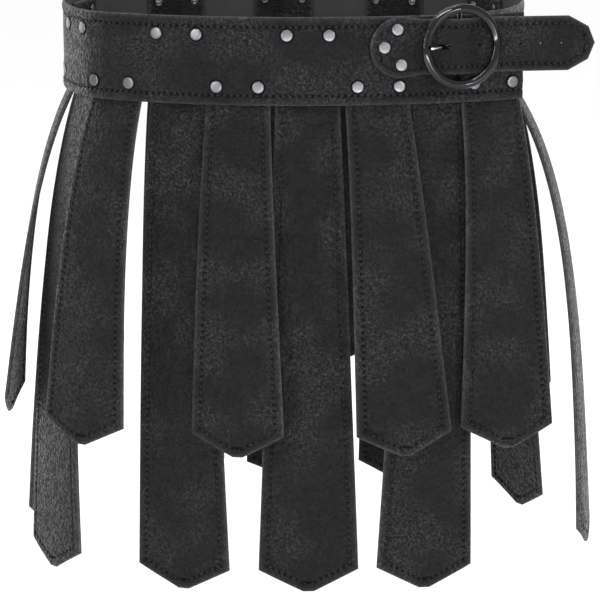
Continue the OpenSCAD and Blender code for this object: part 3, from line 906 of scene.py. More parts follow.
def chape_rivet_place(curve):
    """Arc length of the loop's two rivets, measured on the near side."""
    scene = bpy.context.scene
    straps, rivets = scene.skirt_straps, scene.skirt_rivets
    reach = straps.top_w / 2 + rivets.back_d / 2 + scene.skirt_buckle.chape_clear
    return curve.round_l + straps.long_at[STRAPS - 1] - reach


def tab_places():
    """Places of the three rivets in the tongue's round end, from the bar."""
    return [(-46 * MM, 13 * MM), (-55.5 * MM, 0.0), (-43 * MM, -13 * MM)]


def dented(h, s, z, rivets):
    """Height h of the band's leather, pulled in under the rivets near a place and rucked round them."""
    reach = 14 * MM
    pull_h, pull_w = 0.75 * MM, 6.2 * MM
    ruck_h, ruck_r, ruck_w, rucks = 0.3 * MM, 8 * MM, 3 * MM, 5
    swell_h, swell_r, swell_w = 0.3 * MM, 9.5 * MM, 2.6 * MM
    for s_r, z_r in rivets:
        if abs(s_r - s) > reach or abs(z_r - z) > reach:
            continue
        r = math.hypot(s - s_r, z - z_r)
        direction = math.atan2(z - z_r, s - s_r)
        # The rucks differ in depth and direction from rivet to rivet
        depth = 0.5 + 0.5 * noise.noise(Vector((s_r * 40, z_r * 90, 3)))
        fold = math.sin(rucks * direction + s_r * 900) * depth
        pull, ruck, swell = bell(r, pull_w), bell(r - ruck_r, ruck_w), bell(r - swell_r, swell_w)
        h += -pull_h * pull + ruck_h * ruck * fold + swell_h * swell
    return h


class SKIRT_OT_waistband(bpy.types.Operator):
    """Make the waistband with its padded, stitched hems, and its lining"""

    bl_idname = "skirt.waistband"
    bl_label = "Waistband"

    def execute(self, context):
        self.outer(context.scene)
        self.lining(context.scene)
        return {"FINISHED"}

    def outer(self, scene):
        band = scene.skirt_band
        curve = BandCurve(band)
        low_s, high_s = curve.under(band.under_len), band.flap_len
        half_h = band.band_h / 2
        end_steps, end_step = (0, 0.2, 0.6, 1.2, 2.2), 2.2 * MM
        stations = [low_s + d for d in rims(high_s - low_s, end_steps, end_step)]
        hem_steps, hem_step = (0, 0.2, 0.6, 1.4, 2.8, 4.6, 6.2, 6.9, 7.3, 7.6, 8.1, 9.2), 2 * MM
        levels = [z - half_h for z in rims(band.band_h, hem_steps, hem_step)]
        upper, lower = rivet_places()
        rivets = sorted(upper + lower)
        stitch_in = band.hem_h - 0.7 * MM
        edge_r, groove_h, groove_w = 0.9 * MM, 0.5 * MM, 0.6 * MM
        uneven_h, thread_sunk, line_step, line_margin = 0.35 * MM, 0.3 * MM, 3 * MM, 4 * MM

        def hem_puff(from_hem):
            if not 0 < from_hem < stitch_in:
                return 0.0
            return band.hem_puff * math.sin(math.pi * min(1.0, from_hem / stitch_in)) ** 0.7

        def height(s, z, face):
            from_hem = half_h - abs(z)
            from_end = min(s - low_s, high_s - s)
            d = max(0.0, min(from_hem, from_end))
            edge = rounded(d, edge_r)
            uv = on_uv(s, z)
            if face < 0:
                return -band.band_t / 2 - edge * band.band_t / 2, 0.0, uv, (FAR_FROM_SEAM, 0.0)
            groove = groove_h * bell(from_hem - stitch_in, groove_w)
            h = -band.band_t / 2 + edge * band.band_t / 2 + hem_puff(from_hem) * edge - groove
            h = dented(h, s, z, rivets)
            h += uneven_h * noise.noise(Vector((s * 45, z * 60, 1.7)))
            return h, edge_wear_and_sheen(d), uv, on_uv(from_hem - stitch_in, s)

        def place(s, z, h):
            return curve.at(s, h, z)

        bm = bmesh.new()
        leather_sheet(bm, stations, levels, place, height)
        stitch = stitch_template()
        # The margins take the place of the two spaced points nearest to each end
        line = [low_s + line_margin, *spaced(low_s, high_s, line_step)[2:-2], high_s - line_margin]
        for side in (-1, 1):
            z = side * (half_h - stitch_in)
            sew(bm, stitch, place, [(s, z) for s in line], -thread_sunk)
        piece = stitched_piece("waistband_leather", bm, ["waistband"])
        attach(piece, "belt")

    def lining(self, scene):
        band = scene.skirt_band
        curve = BandCurve(band)
        outer, inner, _, _ = layers()
        low_s = curve.under(band.under_len) + band.lining_inset
        high_s = band.flap_len - band.lining_inset
        half_h = band.band_h / 2 - band.lining_inset
        steps, along_step, up_step = (0, 0.15, 0.5, 1.2), 5 * MM, 6 * MM
        stations = [low_s + d for d in rims(high_s - low_s, steps, along_step)]
        levels = [z - half_h for z in rims(2 * half_h, steps, up_step)]
        middle, half_t = (outer + inner) / 2, (outer - inner) / 2
        cut = 3

        def height(s, z, face):
            d = max(0.0, min(half_h - abs(z), s - low_s, high_s - s))
            uv = (s / UV_METRES, z / UV_METRES + cut)
            return face * rounded(d, half_t) * half_t, 0.0, uv, (FAR_FROM_SEAM, 0.0)

        bm = bmesh.new()
        leather_sheet(bm, stations, levels, lambda s, z, h: curve.at(s, middle + h, z), height)
        piece = finish_piece(
            "waistband_lining_suede", bm, [split_leather()], ["waistband_lining"])
        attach(piece, "belt")


def spin_profile(bm, profile, steps, closed=False):
    """Revolves a profile of (radius, height) points about Z, and joins its ends where it is closed."""
    verts = [bm.verts.new((r, 0, h)) for r, h in profile]
    ends = verts[1:] + verts[:1] if closed else verts[1:]
    edges = [bm.edges.new(pair) for pair in zip(verts, ends)]
    bmesh.ops.spin(
        bm, geom=verts + edges, cent=(0, 0, 0), axis=(0, 0, 1), angle=2 * math.pi, steps=steps,
        use_merge=True)
    bmesh.ops.remove_doubles(bm, verts=bm.verts, dist=TINY)
    bmesh.ops.recalc_face_normals(bm, faces=bm.faces)
    for poly in bm.faces:
        poly.smooth = True


def rivet_mesh(depth):
    """A rivet standing on Z = 0: a low domed cap with a rolled rim, and its post down to depth."""
    rivets = bpy.context.scene.skirt_rivets
    r, top = rivets.cap_d / 2, rivets.cap_h
    post = rivets.post_d / 2
    cap = (
        (0, 1), (0.45, 0.99), (0.74, 0.95), (0.83, 0.9), (0.9, 0.8), (0.96, 0.62), (1, 0.34), (1, 0.1),
        (0.97, 0),
    )
    profile = [(r * x, top * z) for x, z in cap] + [(post, 0), (post, -depth), (0, -depth)]
    bm = bmesh.new()
    spin_profile(bm, profile, 32)
    return mesh_from(bm, "rivet")


def pressed_ring_shade_mesh():
    """The rim of leather that a cap has pressed down round itself, a narrow hollow, coloured all over with
    the stitch holes' painted shade to stand for the shade round the cap.
    """
    rivets = bpy.context.scene.skirt_rivets
    r, lip = rivets.cap_d / 2, 0.12 * MM
    section = ((0.9, 0), (1.04, 0), (1.1, 1), (1.17, 1), (1.24, -1), (0.9, -1))
    bm = bmesh.new()
    spin_profile(bm, [(r * x, lip * z) for x, z in section], 24, closed=True)
    # Its second material is the coated leather; with no seam map here, its stitch-hole mask covers the whole
    # ring and paints it in dark shade
    for poly in bm.faces:
        poly.material_index = 1
    return mesh_from(bm, "pressed_ring_shade")


def rivet_back_mesh():
    """The flared disc that closes a rivet on the inside, below Z = 0."""
    rivets = bpy.context.scene.skirt_rivets
    r, h, post = rivets.back_d / 2, rivets.back_h, rivets.post_d / 2
    profile = [(post, 0), (r, 0), (r, -h * 0.55), (r * 0.86, -h), (post * 1.1, -h), (post, -h * 0.8)]
    bm = bmesh.new()
    spin_profile(bm, profile, 24, closed=True)
    return mesh_from(bm, "rivet_back")


def outward(curve, s, z, out):
    """Transform that stands a piece on the band at a place, its Z pointing outward."""
    turn = Matrix((curve.along(s), Vector((0, 0, 1)), curve.facing(s))).transposed().to_4x4()
    return Matrix.Translation(curve.at(s, out, z)) @ turn


def set_copies(bm, mesh, transforms):
    """Adds a copy of a mesh at each transform."""
    for matrix in transforms:
        one = mesh.copy()
        one.transform(matrix)
        bm.from_mesh(one)
        bpy.data.meshes.remove(one)


class SKIRT_OT_rivets(bpy.types.Operator):
    """Make every rivet and the disc behind it"""

    bl_idname = "skirt.rivets"
    bl_label = "Rivets"

    def execute(self, context):
        scene = context.scene
        band, straps = scene.skirt_band, scene.skirt_straps
        buckle, rivets = scene.skirt_buckle, scene.skirt_rivets
        curve = BandCurve(band)
        _, lining_in, short_mid, _ = layers()
        head_in = short_mid - straps.strap_t / 2
        upper, lower = rivet_places()
        stand = rivets.cap_h + buckle.seat_gap
        tab = [(buckle.at + x, buckle.z + z) for x, z in tab_places()]
        # The caps have sunk a little into the leather
        sunk, chape_half_gap = 0.3 * MM, 6 * MM
        chape_s = curve.under(chape_rivet_place(curve))
        loop = [(chape_s, buckle.z + side * chape_half_gap) for side in (-1, 1)]
        tab_face = stand + buckle.tongue_t
        loop_face = buckle.seat_gap + buckle.chape_t
        deep = -head_in + rivets.back_h
        thin = -lining_in + band.ply_gap + rivets.back_h
        groups = (
            ("upper_rivets", upper, 0.0, deep),
            ("lower_rivets", lower, 0.0, deep),
            ("tongue_rivets", tab, tab_face, tab_face + thin),
            ("chape_rivets", loop, loop_face, loop_face + thin),
        )
        for node, places, face, depth in groups:
            bm = bmesh.new()
            seats = [outward(curve, s, z, face - sunk) for s, z in places]
            set_copies(bm, rivet_mesh(depth), seats)
            # Round each cap, a ring of painted shade
            set_copies(bm, pressed_ring_shade_mesh(), seats)
            piece = finish_piece(f"{node}_caps", bm, [gunmetal_steel(), coated_leather()], [node])
            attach(piece, "belt")
        bm = bmesh.new()
        inner = head_in - 2 * band.ply_gap
        backs = [outward(curve, s, z, inner) for s, z in upper + lower]
        backs += [outward(curve, s, z, lining_in - 2 * band.ply_gap) for s, z in tab + loop]
        set_copies(bm, rivet_back_mesh(), backs)
        piece = finish_piece("rivet_back_discs", bm, [gunmetal_steel()], ["rivet_backs"])
        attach(piece, "belt")
        return {"FINISHED"}


def ease(f):
    """Smooth rise from 0 to 1 as f goes from 0 to 1."""
    return (1 - math.cos(math.pi * min(max(f, 0.0), 1.0))) / 2


class Closure:
    """Places of the buckle, its prong, the tongue and the chape over the front panel."""

    # Runs over which the tongue rises to the bar, and falls behind the rim past it
    RISE_RUN, FALL_RUN = 34 * MM, 20 * MM
    # The tongue bends over this length, past the rim by this clearance
    BEND_RUN, RIM_CLEAR = 6 * MM, 1.8 * MM
    # The tongue has its full width from here, and tapers and ends in a blunt point over these lengths
    FULL_FROM, TAPER_L, POINT_L = -26 * MM, 20 * MM, 5 * MM
    # Share of the half height that the taper takes off, and the share that the point starts with
    TAPER = 0.4
    POINT = 1 - TAPER

    def __init__(self, curve):
        scene = bpy.context.scene
        self.curve = curve
        self.b = b = scene.skirt_buckle
        self.stand = scene.skirt_rivets.cap_h + b.seat_gap
        self.bend_r = b.bar_d / 2 + scene.skirt_band.ply_gap + b.chape_t / 2
        self.ply_1 = self.stand + b.chape_t / 2
        self.ply_2 = self.ply_1 + b.chape_t + scene.skirt_band.ply_gap
        self.bar_out = self.ply_1 + self.bend_r
        self.ring_out = self.bar_out + b.ring_rise
        self.lie = self.stand + b.tongue_t / 2
        self.over = self.bar_out + self.bend_r + b.chape_t / 2 + b.seat_gap + b.tongue_t / 2
        self.below = self.stand + b.chape_t + b.seat_gap + b.tongue_t / 2
        self.bend_x = b.ring_d / 2 + self.RIM_CLEAR
        self.shoulder = b.tip_reach - self.TAPER_L
        self.corner_x = b.tip_reach - self.POINT_L
        self.tab_x = b.tab_half - b.tab_reach
        self.rim_mid = (b.ring_d - b.rim_w) / 2
        self.collar_r = b.bar_d / 2 + 1.3 * MM

    def tongue_out(self, x):
        """Stand-off of the tongue: flat on the panel, over the bar, and down behind the rim."""
        if x < 0:
            return self.over + (self.lie - self.over) * ease(-x / self.RISE_RUN)
        return self.over + (self.below - self.over) * ease(x / self.FALL_RUN)

    def tongue(self, x, z, h):
        """Point of the tongue at x from the bar and a height, h outside its middle surface."""
        if x <= self.bend_x:
            return self.curve.at(self.b.at + x, self.tongue_out(x) + h, self.b.z + z)
        s = self.b.at + self.bend_x
        turn = -self.curve.heading(s) - self.b.tip_angle * ease((x - self.bend_x) / self.BEND_RUN + 0.5)
        along = Vector((math.cos(turn), math.sin(turn), 0))
        out = Vector((along.y, -along.x, 0))
        p = self.curve.at(s, self.tongue_out(self.bend_x), self.b.z + z)
        return p + (x - self.bend_x) * along + h * out

    def half_height(self, x):
        """Half height of the tongue's outline at x."""
        b = self.b
        if x < self.tab_x:
            return math.sqrt(max(0.0, b.tab_half ** 2 - (x - self.tab_x) ** 2))
        if x < self.FULL_FROM:
            narrowed = (b.tongue_half - b.tab_half) * (x - self.tab_x) / (self.FULL_FROM - self.tab_x)
            return b.tab_half + narrowed
        if x < self.shoulder:
            return b.tongue_half
        if x < self.corner_x:
            return b.tongue_half * (1 - self.TAPER * (x - self.shoulder) / (self.corner_x - self.shoulder))
        return self.POINT * b.tongue_half * (b.tip_reach - x) / (b.tip_reach - self.corner_x)

    def from_edge(self, x, z):
        """Distance of a point of the tongue from its outline."""
        b = self.b
        z = abs(z)
        if x < self.tab_x:
            return b.tab_half - math.hypot(x - self.tab_x, z)
        point_half = self.POINT * b.tongue_half
        taper = math.atan2(self.TAPER * b.tongue_half, self.corner_x - self.shoulder)
        point = math.atan2(point_half, b.tip_reach - self.corner_x)
        straight = self.half_height(min(x, self.shoulder)) - z
        sloped = (b.tongue_half - (x - self.shoulder) * math.tan(taper) - z) * math.cos(taper)
        blunt = (point_half - (x - self.corner_x) * math.tan(point) - z) * math.cos(point)
        return min(straight, sloped, blunt)

    def frame(self):
        """Transform of the buckle: X to the right along the panel, -Y outward, Z up."""
        place = self.curve.at(self.b.at, 0, self.b.z)
        return Matrix.Translation(place) @ Matrix.Rotation(-self.curve.heading(self.b.at), 4, "Z")

    def chape_path(self):
        """Centre line of the chape, seen from above."""
        b, curve = self.b, self.curve
        flap = bpy.context.scene.skirt_band.flap_len
        seat = b.seat_gap + b.chape_t / 2
        round_steps, round_step = 16, 15
        lying_from, lying_step, flap_margin = 18 * MM, 8 * MM, 3 * MM
        leave_l, arrive_l, curve_steps = 12 * MM, 14 * MM, 10
        past_rivets, landing_l, landing_step = 7 * MM, 13 * MM, 3.3 * MM
        chape_end = chape_rivet_place(curve) + past_rivets
        land = curve.under(chape_end - landing_l)
        side, n = curve.along(b.at), curve.facing(b.at)
        bar = curve.at(b.at, self.bar_out)
        # Its short end lies on the panel, and the loop goes round the bar
        path = [curve.at(b.at + x * MM, self.ply_1) for x in (12, 6)]
        for step in range(round_steps):
            turn = math.radians(-90 - round_step * step)
            path.append(bar + self.bend_r * (math.cos(turn) * side + math.sin(turn) * n))
        # Its long end comes back over the short one and lies on the panel
        path += [curve.at(b.at + x * MM, self.ply_2) for x in (6.5, 12.5)]
        lying = [b.at + lying_from + lying_step * i for i in range(5)]
        path += [curve.at(s, self.ply_1) for s in lying if s < flap - flap_margin]
        # Past the panel's end it comes down to the band in a smooth curve, and its rivets hold it there
        start, end = curve.at(flap, self.ply_1), curve.at(land, seat)
        leave = start + leave_l * curve.along(flap)
        arrive = end - arrive_l * curve.along(land)
        for step in range(curve_steps + 1):
            f = step / curve_steps
            a, c, d, e = (1 - f) ** 3, 3 * f * (1 - f) ** 2, 3 * f * f * (1 - f), f ** 3
            path.append(a * start + c * leave + d * arrive + e * end)
        path += [curve.at(land + landing_step * i, seat) for i in range(1, 4)]
        path.append(curve.at(curve.under(chape_end), seat))
        return path


def cut_with(piece, cutters):
    """Cuts closed meshes out of a piece and keeps the result."""
    for index, cutter in enumerate(cutters):
        tool = bpy.data.objects.new(f"cutter_{index}", cutter)
        bpy.context.scene.collection.objects.link(tool)
        cut = piece.modifiers.new("cut", "BOOLEAN")
        cut.object = tool
        cut.operation = "DIFFERENCE"
        cut.solver = "EXACT"
        graph = bpy.context.evaluated_depsgraph_get()
        cut_mesh = bpy.data.meshes.new_from_object(piece.evaluated_get(graph))
        piece.modifiers.clear()
        old = piece.data
        piece.data = cut_mesh
        cut_mesh.name = old.name
        bpy.data.meshes.remove(old)
        bpy.data.objects.remove(tool)


def hole_cutter(closure, x, diameter, back=1.0, long_way=0.0):
    """A cutter across the tongue at x from the bar.

    back is its size at the back, as a share of the front, and long_way draws it out sideways."""
    through, middle = 4 * MM, 1e-6
    bm = bmesh.new()
    made = bmesh.ops.create_cone(
        bm, cap_ends=True, segments=20, radius1=back * diameter / 2, radius2=diameter / 2, depth=through)
    for vert in made["verts"]:
        vert.co.x += math.copysign(long_way / 2, vert.co.x) if abs(vert.co.x) > middle else 0
    here = closure.tongue(x, 0, 0)
    along = (closure.tongue(x + 0.5 * MM, 0, 0) - closure.tongue(x - 0.5 * MM, 0, 0)).normalized()
    out = Vector((along.y, -along.x, 0))
    turn = Matrix((along, out.cross(along), out)).transposed().to_4x4()
    bmesh.ops.transform(bm, matrix=Matrix.Translation(here) @ turn, verts=bm.verts)
    return mesh_from(bm, "hole")


class SKIRT_OT_tongue(bpy.types.Operator):
    """Make the tongue with its stitched border and its holes"""

    bl_idname = "skirt.tongue"
    bl_label = "Tongue"

    def execute(self, context):
        scene = context.scene
        closure = Closure(BandCurve(scene.skirt_band))
        b = scene.skirt_buckle
        half_t = b.tongue_t / 2
        border, puff, groove, uneven_h = 5.6 * MM, 0.4 * MM, 0.45 * MM, 0.15 * MM
        pad_end, pad_h, pad_in, pad_w = -30 * MM, 0.9 * MM, 3.4 * MM, 2.2 * MM
        pull_h, pull_w = 0.5 * MM, 6 * MM
        cut, blend_l = 21, 8 * MM
        near = [d * MM for d in (0, 0.2, 0.7, 1.6, 3.0, 4.4, 5.0, 5.4, 5.7, 6.0, 6.5, 7.6)]
        inner, station_step = 9, 1.8 * MM
        rows = 2 * len(near) + inner
        start, end = -b.tab_reach, b.tip_reach
        stations = [start + d for d in near] + spaced(start + near[-1], end - near[-1], station_step)
        stations += [end - d for d in reversed(near)]

        def param(i, j):
            x = stations[i]
            half = closure.half_height(x)
            if j < len(near):
                return x, -half + min(near[j], half)
            if j >= rows - len(near):
                return x, half - min(near[rows - 1 - j], half)
            edge = max(0.0, half - near[-1])
            return x, edge * (-1 + 2 * (j - len(near) + 1) / (inner + 1))

        def height(x, z, face):
            d = max(0.0, closure.from_edge(x, z))
            h = border_height(d, half_t, border, puff, groove)
            h += uneven_h * noise.noise(Vector((x * 70, z * 40, 8)))
            # The round end is padded along its edge, and its rivets pull it down
            if x < pad_end and face > 0:
                for x_r, z_r in tab_places():
                    h -= pull_h * bell(math.hypot(x - x_r, z - z_r), pull_w)
                h += pad_h * bell(d - pad_in, pad_w)
            if d <= 0:
                h = 0.0
            return face * h, edge_wear_and_sheen(d), on_uv(x, z, cut), on_uv(d - border, x)

        bm = bmesh.new()
        leather_shell(bm, len(stations), rows, param, closure.tongue, height)
        bmesh.ops.dissolve_degenerate(bm, dist=TINY, edges=bm.edges)
        bmesh.ops.recalc_face_normals(bm, faces=bm.faces)
        piece = stitched_piece("tongue_leather", bm, ["tongue", "tongue_tip"])
        cut_with(piece, self.holes(closure))
        bm = bmesh.new()
        bm.from_mesh(piece.data)
        self.stitches(bm, closure, half_t, border)
        bm.to_mesh(piece.data)
        bm.free()
        bend = closure.tongue(closure.bend_x, 0, 0)
        past = closure.tongue(closure.bend_x + blend_l, 0, 0)
        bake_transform(piece)
        return {"FINISHED"}

    def holes(self, closure):
        """Cutters for the spare holes and for the slot that the prong comes up through."""
        b = closure.b
        # An awl leaves holes that narrow towards the back, so no light comes through
        awl_d, awl_back = 0.9 * b.hole_d, 0.1
        slot_x, slot_w, slot_l = -12.9 * MM, b.prong_d + 1.2 * MM, 5.4 * MM
        # No hole is made at the second place, which lies at the outer edge of the ring's rim
        cutters = [hole_cutter(closure, n * b.hole_pitch, awl_d, awl_back) for n in (1, 3, 4, 5)]
        cutters.append(hole_cutter(closure, slot_x, slot_w, 1.0, slot_l))
        return cutters

    def stitches(self, bm, closure, half_t, border):
        b = closure.b
        stitch = stitch_template()
        thread_sunk = 0.25 * MM
        tip = b.tip_reach - border * 1.15
        arc = [math.radians(a) for a in range(180, 89, -6)]
        inset, parts = b.tab_half - border, 40
        round_end = [(closure.tab_x + inset * math.cos(a), inset * math.sin(a)) for a in arc]
        straight = [
            closure.tab_x + (closure.shoulder - closure.tab_x) * i / parts for i in range(1, parts + 1)
        ]
        run = round_end + [(x, closure.half_height(x) - border) for x in straight]
        corner = (closure.corner_x - border * 0.55, closure.POINT * b.tongue_half - border * 0.72)
        run += [corner, (tip, 0.0)]
        for face in (1, -1):
            h = face * (half_t - thread_sunk)
            for side in (-1, 1):
                sew(bm, stitch, closure.tongue, [(x, side * z) for x, z in run], h, face)


class SKIRT_OT_chape(bpy.types.Operator):
    """Make the leather loop that holds the buckle's bar"""

    bl_idname = "skirt.chape"
    bl_label = "Chape"

    def execute(self, context):
        closure = Closure(BandCurve(context.scene.skirt_band))
        b = closure.b
        path = closure.chape_path()
        runs = [0.0]
        for one, two in zip(path, path[1:]):
            runs.append(runs[-1] + (two - one).length)
        total = runs[-1]
        half_t, half_h = b.chape_t / 2, b.chape_h / 2
        steps, along_step, up_step = (0, 0.15, 0.5, 1.1), 1.5 * MM, 3 * MM
        stations = rims(total, steps, along_step)
        levels = [z - half_h for z in rims(b.chape_h, steps, up_step)]
        cut = 31

        def place(run, z, h):
            k = 0
            while k < len(runs) - 2 and run > runs[k + 1]:
                k += 1
            f = (run - runs[k]) / (runs[k + 1] - runs[k])
            before, after = path[max(k - 1, 0)], path[min(k + 2, len(path) - 1)]
            first = (path[k + 1] - before).normalized()
            last = (after - path[k]).normalized()
            along = ((1 - f) * first + f * last).normalized()
            p = path[k] + (path[k + 1] - path[k]) * f + h * Vector((-along.y, along.x, 0))
            p.z = b.z + z
            return p

        def height(run, z, face):
            d = max(0.0, min(run, total - run, half_h - abs(z)))
            h = face * half_t * rounded(d, half_t)
            return h, edge_wear_and_sheen(d), on_uv(run, z, cut), (FAR_FROM_SEAM, 0.0)

        bm = bmesh.new()
        leather_sheet(bm, stations, levels, place, height)
        piece = stitched_piece("chape_leather", bm, ["chape"])
        cut_with(piece, [self.slot_cutter(closure)])
        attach(piece, "belt")
        return {"FINISHED"}

    def slot_cutter(self, closure):
        """Block that opens the loop where the prong leaves the bar."""
        b = closure.b
        clear, through = 1.2 * MM, 10 * MM
        left, right = -5 * MM, closure.collar_r + clear
        bm = bmesh.new()
        bmesh.ops.create_cube(bm, size=1)
        bmesh.ops.scale(bm, verts=bm.verts, vec=(right - left, through, b.prong_d + clear))
        bmesh.ops.translate(bm, verts=bm.verts, vec=((left + right) / 2, -closure.bar_out, 0))
        bmesh.ops.transform(bm, matrix=closure.frame(), verts=bm.verts)
        return mesh_from(bm, "slot")


class SKIRT_OT_buckle(bpy.types.Operator):
    """Make the ring buckle and its prong"""

    bl_idname = "skirt.buckle"
    bl_label = "Buckle"

    def execute(self, context):
        closure = Closure(BandCurve(context.scene.skirt_band))
        self.ring(closure)
        self.prong(closure)
        return {"FINISHED"}

    def ring(self, closure):
        b = closure.b
        bm = bmesh.new()
        half_w, half_t = b.rim_w / 2, b.rim_t / 2
        # From the outer edge to the inner: a bead, two flat facets that meet in a soft ridge, and a lip
        face = (
            (1, 0), (0.99, 0.24), (0.95, 0.44), (0.88, 0.56), (0.82, 0.58), (0.78, 0.54), (0.75, 0.6),
            (0.72, 0.66), (0.15, 0.92), (0.07, 0.97), (-0.03, 1), (-0.13, 0.98), (-0.2, 0.93), (-0.72, 0.62),
            (-0.77, 0.57), (-0.82, 0.52), (-0.92, 0.36), (-1, 0),
        )
        back = [(math.cos(a), math.sin(a)) for a in (math.radians(d) for d in range(195, 360, 15))]
        profile = [(closure.rim_mid + r * half_w, h * half_t) for r, h in (*face, *back)]
        spin_profile(bm, profile, 128, closed=True)
        upright = Matrix.Rotation(math.pi / 2, 3, "X")
        bmesh.ops.rotate(bm, verts=bm.verts, matrix=upright)
        bmesh.ops.translate(bm, verts=bm.verts, vec=(0, -b.ring_rise, 0))
        self.rod(bm, b.bar_d / 2, 2 * closure.rim_mid)
        lug_r = b.bar_d / 2 + 0.3 * MM
        for side in (-1, 1):
            lug = self.rod(bm, lug_r, b.ring_rise)
            bmesh.ops.rotate(bm, verts=lug, matrix=upright)
            bmesh.ops.translate(bm, verts=lug, vec=(0, -b.ring_rise / 2, side * closure.rim_mid))
        on_bar = closure.frame() @ Matrix.Translation((0, -closure.bar_out, 0))
        place = on_bar @ Matrix.Rotation(b.ring_turn, 4, "Z")
        bmesh.ops.transform(bm, matrix=place, verts=bm.verts)
        piece = finish_piece("ring_buckle", bm, [black_nickel()], ["buckle_ring"])
        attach(piece, "buckle")

    def rod(self, bm, radius, length):
        """Adds a round rod along Z, smooth round its side, and returns its vertices."""
        made = bmesh.ops.create_cone(
            bm, cap_ends=True, segments=32, radius1=radius, radius2=radius, depth=length)["verts"]
        for poly in {f for v in made for f in v.link_faces}:
            poly.smooth = len(poly.verts) == 4
        return made

    def prong(self, closure):
        b = closure.b
        # The tip rests on the rim, which the ring's turn has brought forward there
        forward = closure.rim_mid * math.sin(b.ring_turn)
        rest = closure.ring_out + forward + b.rim_t / 2 + b.seat_gap + b.prong_d / 2
        reach, out = closure.rim_mid, closure.bar_out
        # It leaves the bar level, turns up through the tongue's slot, and bends flat at its tip
        path = [
            (-2 * MM, out), (-10.8 * MM, out), (-12 * MM, out + 0.7 * MM), (-15.6 * MM, out + 4.6 * MM),
            (5 * MM - reach, rest - 0.9 * MM), (4 * MM - reach, rest - 0.3 * MM), (2.2 * MM - reach, rest),
        ]
        # The wire is drawn a little thinner than the prong, which leaves it room in its slot
        wire_r = b.prong_d * 0.46
        bm = bmesh.new()
        self.wire(bm, path, wire_r)
        collar, half, bevel = closure.collar_r, b.prong_d / 2, 0.3 * MM
        bore = b.bar_d / 2 + 0.1 * MM
        profile = [
            (bore, -half), (collar - bevel, -half), (collar, -half + bevel), (collar, half - bevel),
            (collar - bevel, half), (bore, half),
        ]
        ring = bmesh.new()
        spin_profile(ring, profile, 32, closed=True)
        bmesh.ops.translate(ring, verts=ring.verts, vec=(0, -closure.bar_out, 0))
        bm.from_mesh(mesh_from(ring, "collar"))
        bmesh.ops.transform(bm, matrix=closure.frame(), verts=bm.verts)
        piece = finish_piece("prong_wire", bm, [polished_steel()], ["buckle_prong"])
        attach(piece, "prong")

    def wire(self, bm, path, radius):
        """Adds a round wire with domed ends along a bent path, its corners eased."""
        parts, passes, sides, dome = 6, 6, 16, (0.55, 0.85, 1.0)
        fine = []
        for (x_1, out_1), (x_2, out_2) in zip(path, path[1:]):
            fine += [
                (x_1 + (x_2 - x_1) * f / parts, out_1 + (out_2 - out_1) * f / parts) for f in range(parts)
            ]
        fine.append(path[-1])
        for _ in range(passes):
            eased = [
                ((p[0] + 2 * q[0] + r[0]) / 4, (p[1] + 2 * q[1] + r[1]) / 4)
                for p, q, r in zip(fine, fine[1:], fine[2:])
            ]
            fine = [fine[0], *eased, fine[-1]]
        points = [Vector((x, -out, 0)) for x, out in fine]
        rings = []
        for index, point in enumerate(points):
            along = (points[min(index + 1, len(points) - 1)] - points[max(index - 1, 0)]).normalized()
            near_end = min(index, len(points) - 1 - index)
            size = radius * dome[min(near_end, 2)]
            circle = bmesh.ops.create_circle(bm, cap_ends=False, segments=sides, radius=size)["verts"]
            turn = along.to_track_quat("Z", "Y").to_matrix()
            bmesh.ops.rotate(bm, verts=circle, matrix=turn)
            bmesh.ops.translate(bm, verts=circle, vec=point)
            rings.append([e for v in circle for e in v.link_edges])
        rings = [list(dict.fromkeys(edges)) for edges in rings]
        for one, two in zip(rings, rings[1:]):
            bmesh.ops.bridge_loops(bm, edges=one + two)
        for edges in (rings[0], rings[-1]):
            bmesh.ops.contextual_create(bm, geom=edges)
        bmesh.ops.recalc_face_normals(bm, faces=bm.faces)
        for poly in bm.faces:
            poly.smooth = True


